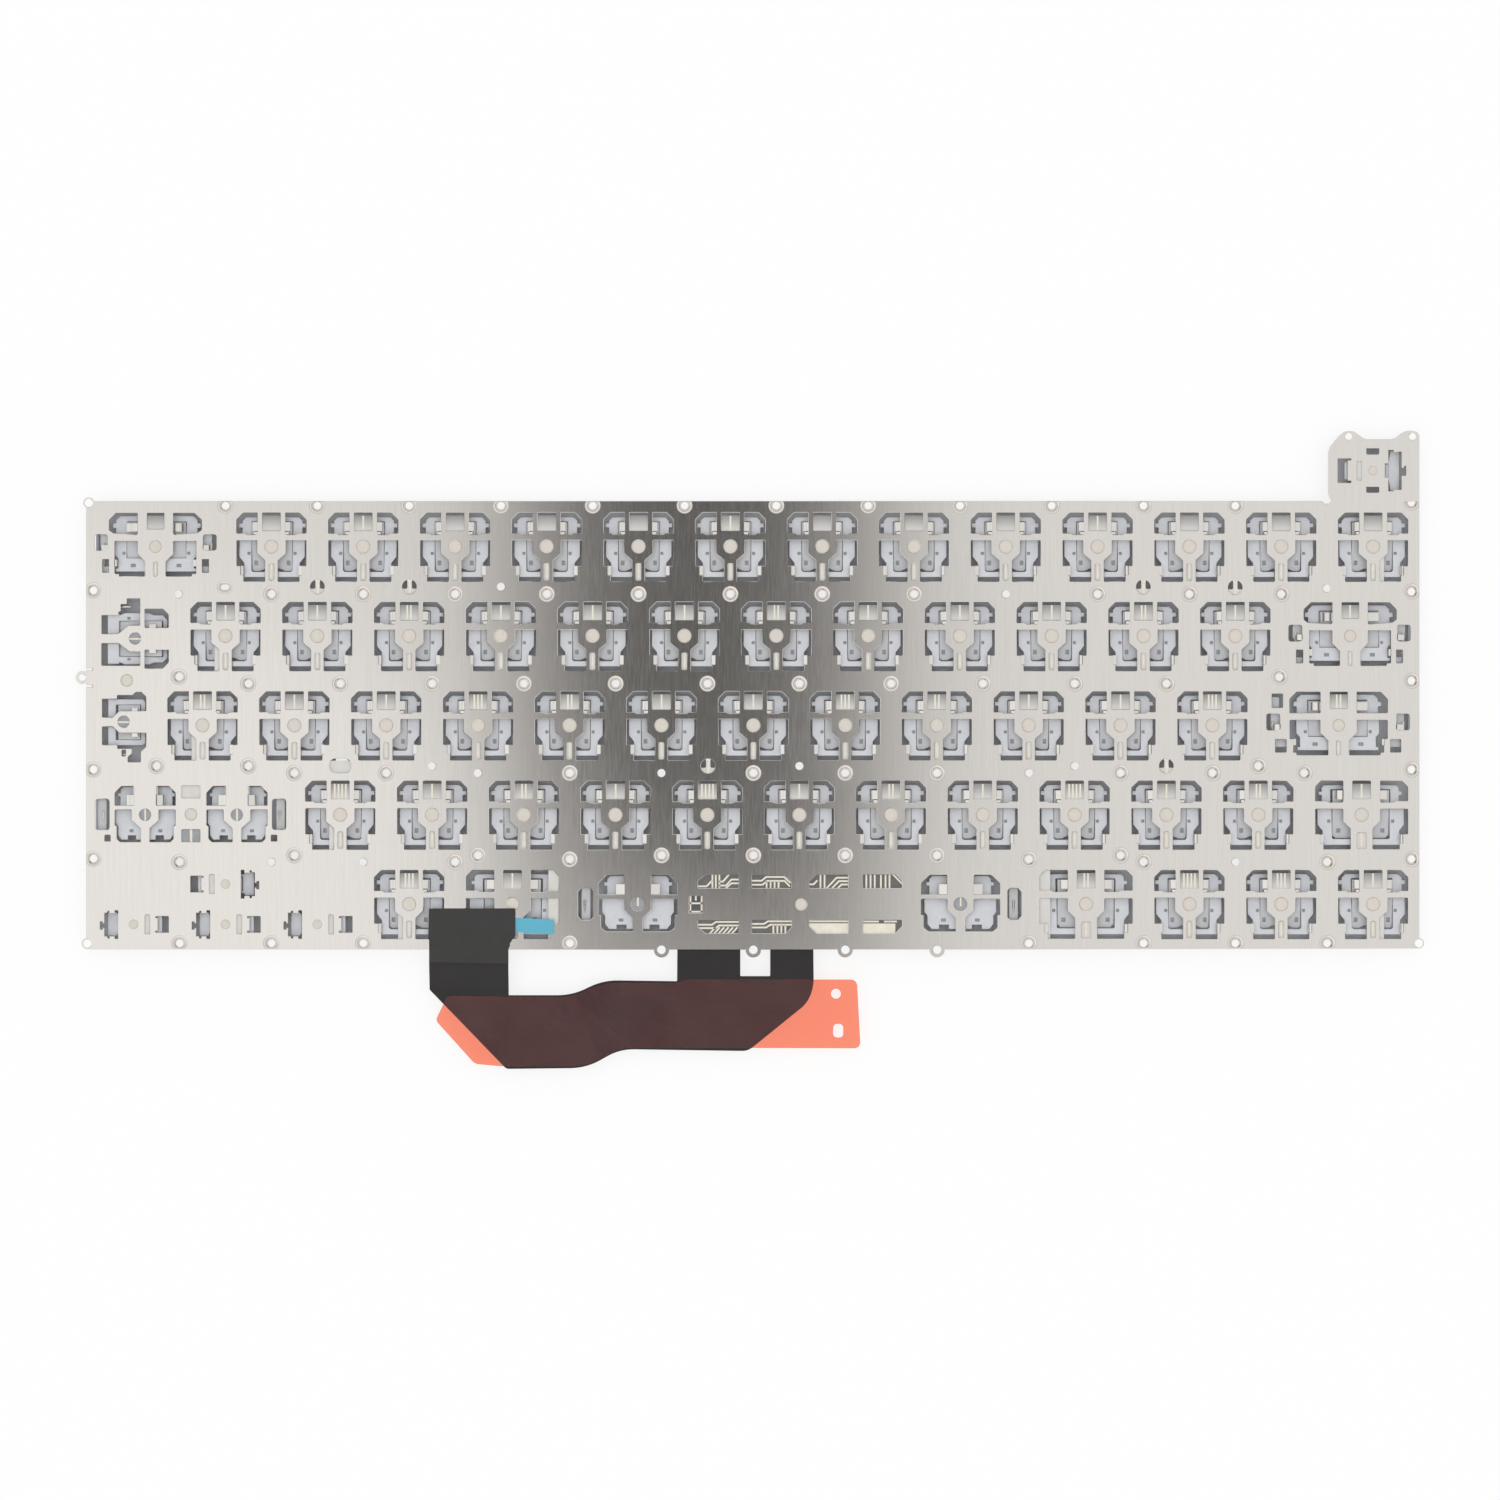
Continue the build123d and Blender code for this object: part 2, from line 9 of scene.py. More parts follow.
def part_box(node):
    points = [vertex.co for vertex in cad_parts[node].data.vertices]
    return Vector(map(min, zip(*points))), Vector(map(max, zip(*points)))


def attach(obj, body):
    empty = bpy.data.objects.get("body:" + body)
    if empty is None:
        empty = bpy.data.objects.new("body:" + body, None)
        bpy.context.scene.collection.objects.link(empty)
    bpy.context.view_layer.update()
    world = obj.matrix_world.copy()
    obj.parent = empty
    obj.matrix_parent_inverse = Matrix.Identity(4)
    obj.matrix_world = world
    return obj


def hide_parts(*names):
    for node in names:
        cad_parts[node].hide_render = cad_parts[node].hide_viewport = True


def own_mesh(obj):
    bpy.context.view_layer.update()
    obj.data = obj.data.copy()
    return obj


# The back of a laptop replacement keyboard, lying keys down: a punched steel plate over scissor keys,
# with a flat ribbon cable, its release liner and a marker tape. Outlines are in picture dots,
# x right and y down, from a key's middle or from the picture's corner, and turn into metres below.
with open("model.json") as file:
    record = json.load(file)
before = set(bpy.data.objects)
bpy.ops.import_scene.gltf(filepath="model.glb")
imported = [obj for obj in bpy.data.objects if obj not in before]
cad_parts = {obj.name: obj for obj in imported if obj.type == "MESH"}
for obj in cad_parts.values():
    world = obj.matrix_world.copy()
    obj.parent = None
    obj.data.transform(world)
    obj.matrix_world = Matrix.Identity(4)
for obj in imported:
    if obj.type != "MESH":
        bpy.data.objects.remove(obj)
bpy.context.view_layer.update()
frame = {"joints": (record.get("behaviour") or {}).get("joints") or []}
scene = bpy.context.scene
mm = 0.001
dot = 0.20686 * mm  # how wide one picture dot is at the plate
pictureMiddle = 750
weldReach = 0.001 * mm  # points nearer than this become one


# Shapes

# A corner becomes the curve (1-t)^2 a + 2t(1-t) corner + t^2 b, where a and b lie the radius away on its
# two sides
def roundedLoop(corners, radius=0.6, steps=2):
    corners = np.array(corners, float)
    radius = np.broadcast_to(np.array(radius, float), (len(corners),))
    back = np.roll(corners, 1, 0) - corners
    ahead = np.roll(corners, -1, 0) - corners
    backLength = np.linalg.norm(back, axis=1)
    aheadLength = np.linalg.norm(ahead, axis=1)
    reach = np.minimum(radius, 0.48 * np.minimum(backLength, aheadLength))
    a = corners + back / backLength[:, None] * reach[:, None]
    b = corners + ahead / aheadLength[:, None] * reach[:, None]
    t = np.linspace(0, 1, steps)[None, :, None]
    curve = (1 - t) ** 2 * a[:, None] + 2 * t * (1 - t) * corners[:, None] + t ** 2 * b[:, None]
    return curve.reshape(-1, 2)


def easedLoop(corners, steps):  # corners are (x, y, radius)
    corners = np.array(corners, float)
    return roundedLoop(corners[:, :2], corners[:, 2], steps)


# A circle: middle + radius (cos a, sin a)
def circleLoop(x, y, radius, count=20):
    angle = np.arange(count) * 2 * np.pi / count
    return np.stack([x + radius * np.cos(angle), y + radius * np.sin(angle)], 1)


def boxLoop(left, right, top, bottom, radius=0.6, steps=2):
    return roundedLoop([(left, top), (right, top), (right, bottom), (left, bottom)], radius, steps)


# Half an outline is carried over to the other side of x = 0, so both halves match
def bothHalves(half):
    half = np.array(half, float)
    return np.concatenate([half, (half[::-1] * (-1, 1))[1:-1]])


def overSides(loops):
    return loops + [loop * (-1, 1) for loop in loops]


# Picture dots to metres: y turns up
def inMetres(loop, x=0.0, y=0.0):
    return np.asarray(loop, float) * (dot, -dot) + (x, y)


def fromPicture(loop):
    return (np.asarray(loop, float) - pictureMiddle) * (dot, -dot)


def loopArea(loop):
    following = np.roll(loop, -1, 0)
    return 0.5 * np.sum(loop[:, 0] * following[:, 1] - loop[:, 1] * following[:, 0])


def runLeft(loop, left=True):  # anticlockwise where left is true
    return loop if (loopArea(loop) > 0) == left else loop[::-1]


# Each corner moves to the left of the loop's direction, along its mitre (n1 + n2) / (1 + n1.n2)
def shifted(loop, distance):
    ahead = np.roll(loop, -1, 0) - loop
    ahead = ahead / np.linalg.norm(ahead, axis=1, keepdims=True)
    normal = np.stack([-ahead[:, 1], ahead[:, 0]], 1)
    mitre = normal + np.roll(normal, 1, 0)
    return loop + distance * mitre / np.maximum(np.sum(mitre * normal, 1, keepdims=True), 0.4)


# Rings of equal count, each joined to the next by four-sided faces
def ringStrips(rings):
    rings = np.asarray(rings, float)
    count = rings.shape[1]
    grid = np.arange(rings.shape[0] * count).reshape(rings.shape[0], count)
    along = np.roll(grid, -1, 1)
    quads = np.stack([grid[:-1], along[:-1], along[1:], grid[1:]], -1).reshape(-1, 4)
    return rings.reshape(-1, 3), [quads]


# The first and the last ring are each filled with one flat face
def withEnds(shape, count):
    points, blocks = shape
    first = np.arange(count)[None]
    return points, blocks + [first[:, ::-1], first + len(points) - count]


def atHeight(loop, height):
    return np.concatenate([loop, np.full((len(loop), 1), height)], 1)


# An outline's rim: its rings are the outline moved in by an amount, each at its own height
def rim(loop, profile):
    return ringStrips([atHeight(shifted(loop, inset), height) for inset, height in profile])


# Triangles that fill an outline and leave its holes open
def filled(loops, height, up=True):
    ends = np.cumsum([0] + [len(loop) for loop in loops])
    rings = [np.arange(a, b) for a, b in zip(ends[:-1], ends[1:])]
    turned = [(ring if loopArea(loop) > 0 else ring[::-1]).tolist() for ring, loop in zip(rings, loops)]
    points = [Vector(point) for point in (np.concatenate(loops) / mm).tolist()]
    found = delaunay_2d_cdt(points, [], turned, 2, 1e-5)
    flat = np.array([tuple(point) for point in found[0]]) * mm
    faces = np.array(found[2])
    one, two, three = flat[faces[:, 0]], flat[faces[:, 1]], flat[faces[:, 2]]
    turn = (two - one)[:, 0] * (three - one)[:, 1] - (two - one)[:, 1] * (three - one)[:, 0]
    if (turn.sum() > 0) != up:
        faces = faces[:, ::-1]
    return atHeight(flat, height), [faces]


def joined(shapes):
    starts = np.cumsum([0] + [len(points) for points, blocks in shapes[:-1]])
    blocks = [block + start for start, shape in zip(starts, shapes) for block in shape[1]]
    return np.concatenate([points for points, part in shapes]), blocks


# A flat sheet with holes: flat faces between the loops and a rim with a small edge round each loop;
# a pocket is a hole in the upper face alone, with its own floor
def punchedSheet(outer, holes, low, high, edge, pockets=(), floor=0.0):
    loops = [runLeft(outer)] + [runLeft(hole, False) for hole in holes]
    wells = [runLeft(pocket, False) for pocket in pockets]
    sides = [rim(loop, [(0, low), (0, high - edge), (edge, high)]) for loop in loops]
    for well in wells:
        points, blocks = rim(well, [(0, floor), (0, high - edge), (edge, high)])
        sides.append((points, blocks + [np.arange(len(well))[None, ::-1]]))
    top = filled([shifted(loop, edge) for loop in loops + wells], high)
    return joined([top, filled(loops, low, False)] + sides)


# A small solid: an outline with eased edges, closed by one flat face at each end
def slab(loop, low, high, edge=0.0):
    loop = runLeft(loop)
    eased = [(edge, low), (0, low + edge), (0, high - edge), (edge, high)]
    return withEnds(rim(loop, eased if edge else [(0, low), (0, high)]), len(loop))


# A profile in x and z carried along y
def carriedProfile(profile, near, far):
    loop = runLeft(np.array(profile, float))
    stand = [np.stack([loop[:, 0], np.full(len(loop), y), loop[:, 1]], 1) for y in (far, near)]
    return withEnds(ringStrips(stand), len(loop))


# A wire: a ring of the wire's radius carried along a path, square to the path's bisecting direction
def wire(path, radius, sides=10):
    path = np.array(path, float)
    along = np.gradient(path, axis=0)
    along /= np.linalg.norm(along, axis=1, keepdims=True)
    side = np.cross(along, (0.0, 0.0, 1.0))
    side /= np.maximum(np.linalg.norm(side, axis=1, keepdims=True), 1e-9)
    upward = np.cross(side, along)
    angle = np.arange(sides)[None, :, None] * 2 * np.pi / sides
    rings = path[:, None] + radius * (np.cos(angle) * side[:, None] + np.sin(angle) * upward[:, None])
    return withEnds(ringStrips(rings), sides)


def moved(shape, x=0.0, y=0.0, z=0.0, turn=0):
    points, blocks = shape
    cosine, sine = [(1, 0), (0, 1), (-1, 0), (0, -1)][turn % 4]
    turned = np.stack([points[:, 0] * cosine - points[:, 1] * sine,
                       points[:, 0] * sine + points[:, 1] * cosine, points[:, 2]], 1)
    return turned + (x, y, z), blocks


def tilted(shape, slope):  # height falls by slope for each metre of y
    points, blocks = shape
    return points - points[:, 1:2] * (0, 0, slope), blocks


def singleFaces(shape):  # the blocks of one face each, which are the pocket floors of a frame
    return {number for number, block in enumerate(shape[1]) if len(block) == 1}


def newPiece(name, shape, finish, slotName, nodes=(), body="keyboard_base", sharp=0.6, second=None):
    points, blocks = shape
    mesh = bpy.data.meshes.new(name)
    mesh.from_pydata(points.tolist(), [], [row for block in blocks for row in block.tolist()])
    mesh.materials.append(finishes[finish])
    if second:
        mesh.materials.append(finishes[second[0]])
        owner = [np.full(len(block), int(number in second[1])) for number, block in enumerate(blocks)]
        mesh.polygons.foreach_set("material_index", np.concatenate(owner))
    weld = bmesh.new()
    weld.from_mesh(mesh)
    bmesh.ops.remove_doubles(weld, verts=weld.verts, dist=weldReach)
    weld.to_mesh(mesh)
    weld.free()
    mesh.polygons.foreach_set("use_smooth", np.ones(len(mesh.polygons), bool))
    mesh.set_sharp_from_angle(angle=sharp)
    mesh.update()
    piece = bpy.data.objects.new(name, mesh)
    scene.collection.objects.link(piece)
    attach(piece, body)
    if nodes:
        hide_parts(*nodes)
    return piece


# Finishes

def newFinish(name, colour, roughness, metallic=0.0, specular=0.5):
    material = bpy.data.materials.new(name)
    material.use_nodes = True
    shader = material.node_tree.nodes["Principled BSDF"]
    for entry, number in (("Base Color", (*colour, 1)), ("Roughness", roughness), ("Metallic", metallic),
                          ("Specular IOR Level", specular)):
        shader.inputs[entry].default_value = number
    return material, material.node_tree, shader


def addNode(tree, kind, **values):
    node = tree.nodes.new("ShaderNode" + kind)
    for name, value in values.items():
        if name in node.inputs.keys():
            node.inputs[name].default_value = value
        else:
            setattr(node, name, value)
    return node


def connect(tree, *links):  # each link is a node, its output, the next node and its input
    for start, output, end, entry in links:
        tree.links.new(start.outputs[output], end.inputs[entry])


def patternOn(tree, scale, stretch=(1, 1, 1)):
    place = addNode(tree, "TexCoord")
    mapping = addNode(tree, "Mapping", Scale=stretch)
    noise = addNode(tree, "TexNoise", Scale=scale, Detail=3.0, Roughness=0.55)
    connect(tree, (place, "Object", mapping, "Vector"), (mapping, "Vector", noise, "Vector"))
    return noise.outputs["Fac"]


def mapRange(tree, **values):
    return addNode(tree, "MapRange", **values)


def spread(tree, value, low, high, start=0.3, end=0.7):
    span = mapRange(tree, **{"From Min": start, "From Max": end, "To Min": low, "To Max": high})
    tree.links.new(value, span.inputs["Value"])
    return span.outputs["Result"]


def shade(tree, value, dark, light):
    ramp = addNode(tree, "ValToRGB")
    for stop, position, colour in zip(ramp.color_ramp.elements, (0.3, 0.7), (dark, light)):
        stop.position = position
        stop.color = (*colour, 1)
    tree.links.new(value, ramp.inputs["Fac"])
    return ramp.outputs["Color"]


def bump(tree, shader, value, strength, distance):
    node = addNode(tree, "Bump", Strength=strength, Distance=distance)
    tree.links.new(value, node.inputs["Height"])
    connect(tree, (node, "Normal", shader, "Normal"))


# A mottled finish: colour and roughness each follow a noise, and a fine noise gives the grain
def mottledFinish(name, look):
    stretch = look.get("stretch", (1, 1, 1))
    material, tree, shader = newFinish(name, look["light"], look["rough"][0], look.get("metal", 0.0),
                                       look.get("specular", 0.5))
    cloud, grain = patternOn(tree, look["scale"], stretch), patternOn(tree, look["grain"], stretch)
    tree.links.new(shade(tree, cloud, look["dark"], look["light"]), shader.inputs["Base Color"])
    tree.links.new(spread(tree, grain, *look["rough"]), shader.inputs["Roughness"])
    bump(tree, shader, grain, look["bump"], look.get("depth", 0.02 * mm))
    return material


looks = {
    "brushedSteel": {"light": (0.70, 0.67, 0.635), "dark": (0.67, 0.64, 0.605), "rough": (0.1, 0.15),
        "metal": 1.0, "stretch": (26, 0.6, 1), "scale": 160, "grain": 420, "bump": 0.05, "depth": 0.006 * mm},
    # painted shade on the sunk holes' edge and step rings
    "sunkRingPaintedShade": {"light": (0.50, 0.45, 0.40), "dark": (0.43, 0.385, 0.34), "rough": (0.2, 0.3),
        "metal": 1.0, "scale": 900, "grain": 2500, "bump": 0.05},
    # painted shade for the film in the space bar's trace slots
    "slotPaintedShade": {"light": (0.15, 0.148, 0.14), "dark": (0.11, 0.108, 0.10), "rough": (0.3, 0.45),
        "scale": 300, "grain": 1500, "bump": 0.04},
    # dark patches on the film, and painted shade in the square window
    "circuitDarkAndPaintedShade": {"light": (0.10, 0.10, 0.105), "dark": (0.07, 0.07, 0.075), "rough": (0.35, 0.5),
        "scale": 600, "grain": 2500, "bump": 0.05},
    # painted shade for the frames' pocket floors and the film's discs
    "paintedShadeMid": {"light": (0.36, 0.37, 0.39), "dark": (0.30, 0.31, 0.33), "rough": (0.5, 0.65),
        "scale": 900, "grain": 4000, "bump": 0.05},
    "frameNylon": {"light": (0.66, 0.67, 0.70), "dark": (0.60, 0.61, 0.64), "rough": (0.32, 0.45),
        "scale": 500, "grain": 4000, "bump": 0.1},
    "innerNylon": {"light": (0.57, 0.575, 0.59), "dark": (0.52, 0.525, 0.54), "rough": (0.35, 0.5),
        "scale": 500, "grain": 4000, "bump": 0.1},
    "circuitFilm": {"light": (0.70, 0.685, 0.65), "dark": (0.64, 0.625, 0.59), "rough": (0.25, 0.4),
        "scale": 300, "grain": 1500, "bump": 0.04},
    "circuitTrace": {"light": (0.85, 0.80, 0.68), "dark": (0.76, 0.71, 0.60), "rough": (0.45, 0.6),
        "scale": 900, "grain": 3000, "bump": 0.08},
    "adhesiveSpot": {"light": (0.70, 0.65, 0.585), "dark": (0.65, 0.60, 0.53), "rough": (0.6, 0.8),
        "scale": 1800, "grain": 5000, "bump": 0.15},
    "domeSilicone": {"light": (0.55, 0.56, 0.57), "dark": (0.48, 0.49, 0.50), "rough": (0.5, 0.65),
        "scale": 600, "grain": 3000, "bump": 0.05},
    "keycapBlack": {"light": (0.022, 0.022, 0.024), "dark": (0.016, 0.016, 0.018), "rough": (0.42, 0.6),
        "scale": 800, "grain": 9000, "bump": 0.25},
    "keycapInside": {"light": (0.53, 0.545, 0.57), "dark": (0.48, 0.495, 0.52), "rough": (0.4, 0.55),
        "scale": 400, "grain": 4000, "bump": 0.1},
    "springWire": {"light": (0.62, 0.60, 0.57), "dark": (0.45, 0.44, 0.42), "rough": (0.2, 0.32),
        "metal": 1.0, "scale": 900, "grain": 3000, "bump": 0.05},
    "ribbonBlack": {"light": (0.015, 0.012, 0.012), "dark": (0.011, 0.009, 0.009), "rough": (0.34, 0.46),
        "specular": 0.4, "scale": 220, "grain": 2500, "bump": 0.06},
    "coverBlack": {"light": (0.026, 0.025, 0.024), "dark": (0.022, 0.021, 0.020), "rough": (0.5, 0.62),
        "scale": 260, "grain": 5000, "bump": 0.12},
}
finishes = {name: mottledFinish(name, look) for name, look in looks.items()}


# A film that lets light through: coloured clear shader mixed with a glossy haze
def clearFilm(name, clear, haze, share, roughness):
    material, tree, shader = newFinish(name, haze, roughness)
    through = addNode(tree, "BsdfTransparent", Color=(*clear, 1))
    mix = addNode(tree, "MixShader")
    cloud = patternOn(tree, 90)
    tree.links.new(spread(tree, cloud, *share), mix.inputs["Fac"])
    connect(tree, (through, "BSDF", mix, 1), (shader, "BSDF", mix, 2),
            (mix, "Shader", outputOf(tree), "Surface"))
    grain = patternOn(tree, 1200)
    tree.links.new(spread(tree, grain, roughness, roughness + 0.12), shader.inputs["Roughness"])
    bump(tree, shader, cloud, 0.1, 0.05 * mm)
    return material


def outputOf(tree):
    return next(node for node in tree.nodes if node.type == "OUTPUT_MATERIAL")


# Each clear film: clear colour, haze colour, share of haze and roughness
clearLooks = {
    "linerOrange": ((1.0, 0.535, 0.41), (0.82, 0.64, 0.66), (0.06, 0.08), 0.18),
    "linerEdge": ((1.0, 0.50, 0.38), (0.62, 0.13, 0.12), (0.3, 0.4), 0.3),
    "tapeBlue": ((0.35, 0.78, 0.92), (0.13, 0.50, 0.66), (0.84, 0.9), 0.5),
}
for name, look in clearLooks.items():
    finishes[name] = clearFilm(name, *look)
print("finishes made")


# Where the keys are

def middleOf(node):
    low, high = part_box(node)
    return (np.array(low) + np.array(high)) / 2


def heights(node):
    return [corner.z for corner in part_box(node)]


keyUnit = (middleOf("key_1")[0] - middleOf("key_0")[0]) / 9
gridLeft = middleOf("key_0")[0] - 4 * keyUnit
rowPitch = (middleOf("key_0")[1] - middleOf("key_z")[1]) / 3
topRow = middleOf("key_0")[1]
capGap = keyUnit - (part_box("key_1")[1].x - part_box("key_1")[0].x)
capHigh = heights("key_1")[1]
plateLow, plateHigh = heights("base_plate")
filmLow, filmHigh = heights("membrane_circuit")

keyRows = [
    "delete:1.5 equal minus 0 9 8 7 6 5 4 3 2 1 section",
    "return bracket_right bracket_left p o i u y t r e w q tab:1.5",
    "return_foot:0.75 backslash quote semicolon l k j h g f d s a caps_lock:1.75",
    "shift_right:2.25 slash period comma m n b v c x z grave shift_left:1.25",
    "arrow_right arrow_down arrow_left option_right command_right:1.25 space:5 command_left:1.25"
    " option_left control fn",
]
slimKeys = ["esc", "arrow_up", "arrow_right", "arrow_down", "arrow_left"]
kindOf = {"delete": "bar", "tab": "bar", "caps_lock": "caps", "shift_left": "wide", "command_left": "wide",
          "command_right": "wide", **dict.fromkeys(slimKeys, "slim")}
fullSize = ("narrow", "wide", "bar", "caps")


def keyX(units):
    return gridLeft + units * keyUnit


def rowY(row):
    return topRow - row * rowPitch


keys = {}  # name: x, y, width, depth in metres
for row, words in enumerate(keyRows):
    start = 0.0
    for word in words.split():
        name, _, width = word.partition(":")
        name = "key_" + name if len(name) == 1 else name
        width = float(width or 1)
        keys[name] = (keyX(start + width / 2), rowY(row), width * keyUnit - capGap, rowPitch - capGap)
        start += width
arrowGap = 0.6 * mm
halfDepth = (rowPitch - capGap - arrowGap) / 2
halfShift = (halfDepth + arrowGap) / 2
for name in ("arrow_right", "arrow_down", "arrow_left"):
    x, y, width, depth = keys[name]
    keys[name] = (x, y - halfShift, width, halfDepth)
x, y, width, depth = keys["arrow_down"]
keys["arrow_up"] = (x, y + 2 * halfShift, width, halfDepth)
escLow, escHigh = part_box("esc")
keys["esc"] = ((escLow.x + escHigh.x) / 2, (escLow.y + escHigh.y) / 2,
               escHigh.x - escLow.x, escHigh.y - escLow.y)
jointOf = {joint["child"][:-4]: joint["name"] for joint in frame["joints"]}

# Each mechanism: key, kind, x, y and quarter turns
deleteShift = 1.2 * dot  # its mechanism sits a little left of the key's middle
mechanisms = [(name, kindOf.get(name, "narrow"), x - deleteShift * (name == "delete"), y,
               2 if name in slimKeys[2:] else 0)
              for name, (x, y, width, depth) in keys.items()
              if name not in ("shift_right", "space", "return", "return_foot")]
spaceReach = 33.4 * mm
for side in (-1, 1):
    for name, word, reach in (("shift_right", "shift", keyUnit / 2), ("space", "space", spaceReach)):
        mechanisms.append((name, word, keys[name][0] + side * reach, keys[name][1], 0))
returnMiddle = keyX(0.425)
for word, units, row, up in (("return", 0.515, 1, -0.55 * mm), ("returnFoot", 0.39, 2, 0.65 * mm)):
    mechanisms.append(("return", word, keyX(units), rowY(row) + up, 3))


def middles(*kinds):
    return [(x, y) for name, kind, x, y, turn in mechanisms if kind in kinds]


# The full-size keys of a row, from left to right: x and kind
def alongKeys(row):
    return sorted((x, kind) for name, kind, x, y, turn in mechanisms
                  if kind in fullSize and abs(y - rowY(row)) < 1 * mm)


print("keys placed:", len(keys), "mechanisms:", len(mechanisms))

# The steel plate

narrowCell = {
    "upper": [(-13.9, -34), (-28.1, -34), (-35, -27), (-35, -13.2), (-26.5, -13.2), (-25.5, -11.8),
        (-14.9, -11.8), (-13.9, -12.8)],
    "lower": [(-34.8, -6.3), (-14.4, -6.3), (-14.4, 6.9), (-6.4, 13.8), (-6.4, 35), (-27.9, 35),
        (-27.9, 28.7), (-30.6, 28.7), (-30.6, 19.5), (-34.8, 19.5)],
    "film": (-9.2, 9.2, -34, -15.8),
    "slot": (-2.7, 2.7, 17, 33.9),
    "disc": 6.8,
}
wideCell = {
    "upper": [(-18.4, -34), (-40.5, -34), (-46.4, -28), (-46.4, -13.6), (-34, -13.6), (-33, -12.2),
        (-19.4, -12.2), (-18.4, -13.2)],
    "lower": [(-46.4, -5.8), (-18.4, -5.8), (-18.4, 6.5), (-11, 13.8), (-11, 34.6), (-38, 34.6), (-38, 28.6),
        (-41.5, 28.6), (-41.5, 19.5), (-46.4, 19.5)],
    "film": (-9.2, 9.2, -34, -15.8),
    "slot": (-4.9, 4.9, 17.8, 34.2),
    "disc": 6.8,
}
barCell = {
    "upper": [(-17.8, -33.7), (-39.3, -33.7), (-46.4, -26.5), (-46.4, -16.4), (-42.4, -13.4), (-30, -12.8),
        (-18.8, -11.8), (-17.8, -12.8)],
    "lower": [(-40.8, -5.6), (-17.8, -5.6), (-17.8, 7.5), (-10.3, 15), (-10.3, 29.7), (-36.4, 29.7),
        (-36.4, 27.2), (-40.8, 27.2)],
    "film": (-8.4, 8.9, -33.7, -17.4),
    "slot": (-2.1, 2.1, 15.2, 29.8),
    "disc": 6,
}
capsCell = {
    "upper": [(-18.2, -33.6), (-42, -33.6), (-49.1, -26.3), (-49.1, -12.4), (-18.2, -12.4)],
    "lower": [(-49, -5.4), (-18.3, -5.4), (-18.3, 7.4), (-10.4, 15), (-10.4, 29.8), (-42, 29.8), (-42, 27.2),
        (-45.4, 27.2), (-45.4, 13.6), (-49, 13.6)],
    "film": (-8.8, 9, -33.6, -16.8),
    "slot": (-2.3, 2.3, 15.4, 29.8),
    "disc": 6,
}
spaceCell = {
    "upper": [(-13.4, -29.1), (-31, -29.1), (-39.5, -21), (-39.5, -9.6), (-13.4, -9.6)],
    "lower": [(-39.5, -5.2), (-13.2, -5.2), (-13.2, 5.6), (-5, 13.6), (-5, 27.3), (-32, 27.3), (-36.8, 23.5),
        (-36.8, 11), (-39.5, 11)],
    "disc": 6.7,
}
shiftCell = {
    "upper": [(-11.2, -28.7), (-24, -28.7), (-30.4, -22), (-30.4, -9.2), (-11.2, -9.2)],
    "lower": [(-30.4, -5), (-13.5, -5), (-13.5, 5.6), (-4.5, 13.4), (-4.5, 27.4), (-25, 27.4), (-28.4, 24),
        (-28.4, 11), (-30.4, 11)],
    "disc": 6,
}
slimCell = {
    "end": [(-35, -8), (-21.8, -8), (-21.8, -6.3), (-24.2, -6.3), (-24.2, 6.5), (-21.8, 6.5), (-21.8, 8.3),
        (-35, 8.3)],
    "slot": (-16.3, -11.2, -9.6, 9.8),
    "disc": 4.5,
    "near": [(15.5, -13.9), (18.9, -13.9), (18.9, -10.8), (24.2, -10.8), (24.2, -13.3), (26.2, -13.3),
        (26.2, -11.5), (29.2, -11.5), (29.2, -0.8), (31, -0.8), (31, -2.7), (33.6, -2.7), (33.6, 5.2),
        (31, 5.2), (31, 3.5), (29.2, 3.5), (29.2, 12), (26.2, 12), (26.2, 14.1), (24.2, 14.1), (24.2, 11.9),
        (18.9, 11.9), (18.9, 14.5), (15.5, 14.5)],
    "escNear": [(11.6, -7.2), (15.1, -7.2), (15.1, -20.4), (20.6, -20.4), (20.6, -18.2), (26.4, -18.8),
        (28.5, -18.8), (28.5, -2.6), (31, -2.6), (31.4, -4.6), (33, -4.6), (33, 5.1), (28.5, 5.1),
        (28.5, 19.4), (20.6, 19.4), (20.6, 20.9), (15.1, 20.9), (15.1, 7.1), (11.6, 7.1)],
    "escEnd": [(-35.3, -12), (-21.9, -12), (-21.9, -10.2), (-25.4, -10.2), (-25.4, 10.2), (-21.9, 10.2),
        (-21.9, 12.4), (-35.3, 12.4)],
    "escSlots": [(-6.7, 6, -22.2, -16.2), (-6.7, 6, 16.4, 22)],
}


def cellLoops(cell):
    loops = overSides([roundedLoop(cell["upper"]), roundedLoop(cell["lower"])])
    loops.append(circleLoop(0, 0, cell["disc"]))
    if "film" in cell:
        loops.append(boxLoop(*cell["film"]))
        loops.append(boxLoop(*cell["slot"], 1.8, 4))
    return loops


def slimLoops(name):
    near, end, slots = ("escNear", "escEnd", slimCell["escSlots"]) if name == "esc" else ("near", "end", [])
    loops = [roundedLoop(slimCell[near], 0.4), roundedLoop(slimCell[end], 0.4), boxLoop(*slimCell["slot"]),
             circleLoop(0, 0, slimCell["disc"])]
    return loops + [boxLoop(*slot) for slot in slots]


cells = {"narrow": narrowCell, "wide": wideCell, "bar": barCell, "caps": capsCell, "space": spaceCell,
         "shift": shiftCell}
plateHoles = []
for name, kind, x, y, turn in mechanisms:
    if kind in cells:
        plateHoles += [inMetres(loop, x, y) for loop in cellLoops(cells[kind])]
    if kind == "slim":
        facing = -1 if turn else 1
        plateHoles += [inMetres(loop * (facing, 1), x, y) for loop in slimLoops(name)]


# A window is a list of corners, a circle (x, y, radius) or a box (left, right, top, bottom, radius, steps)
def windowLoop(window):
    if isinstance(window, list):
        return roundedLoop(window)
    return circleLoop(*window) if len(window) == 3 else boxLoop(*window)


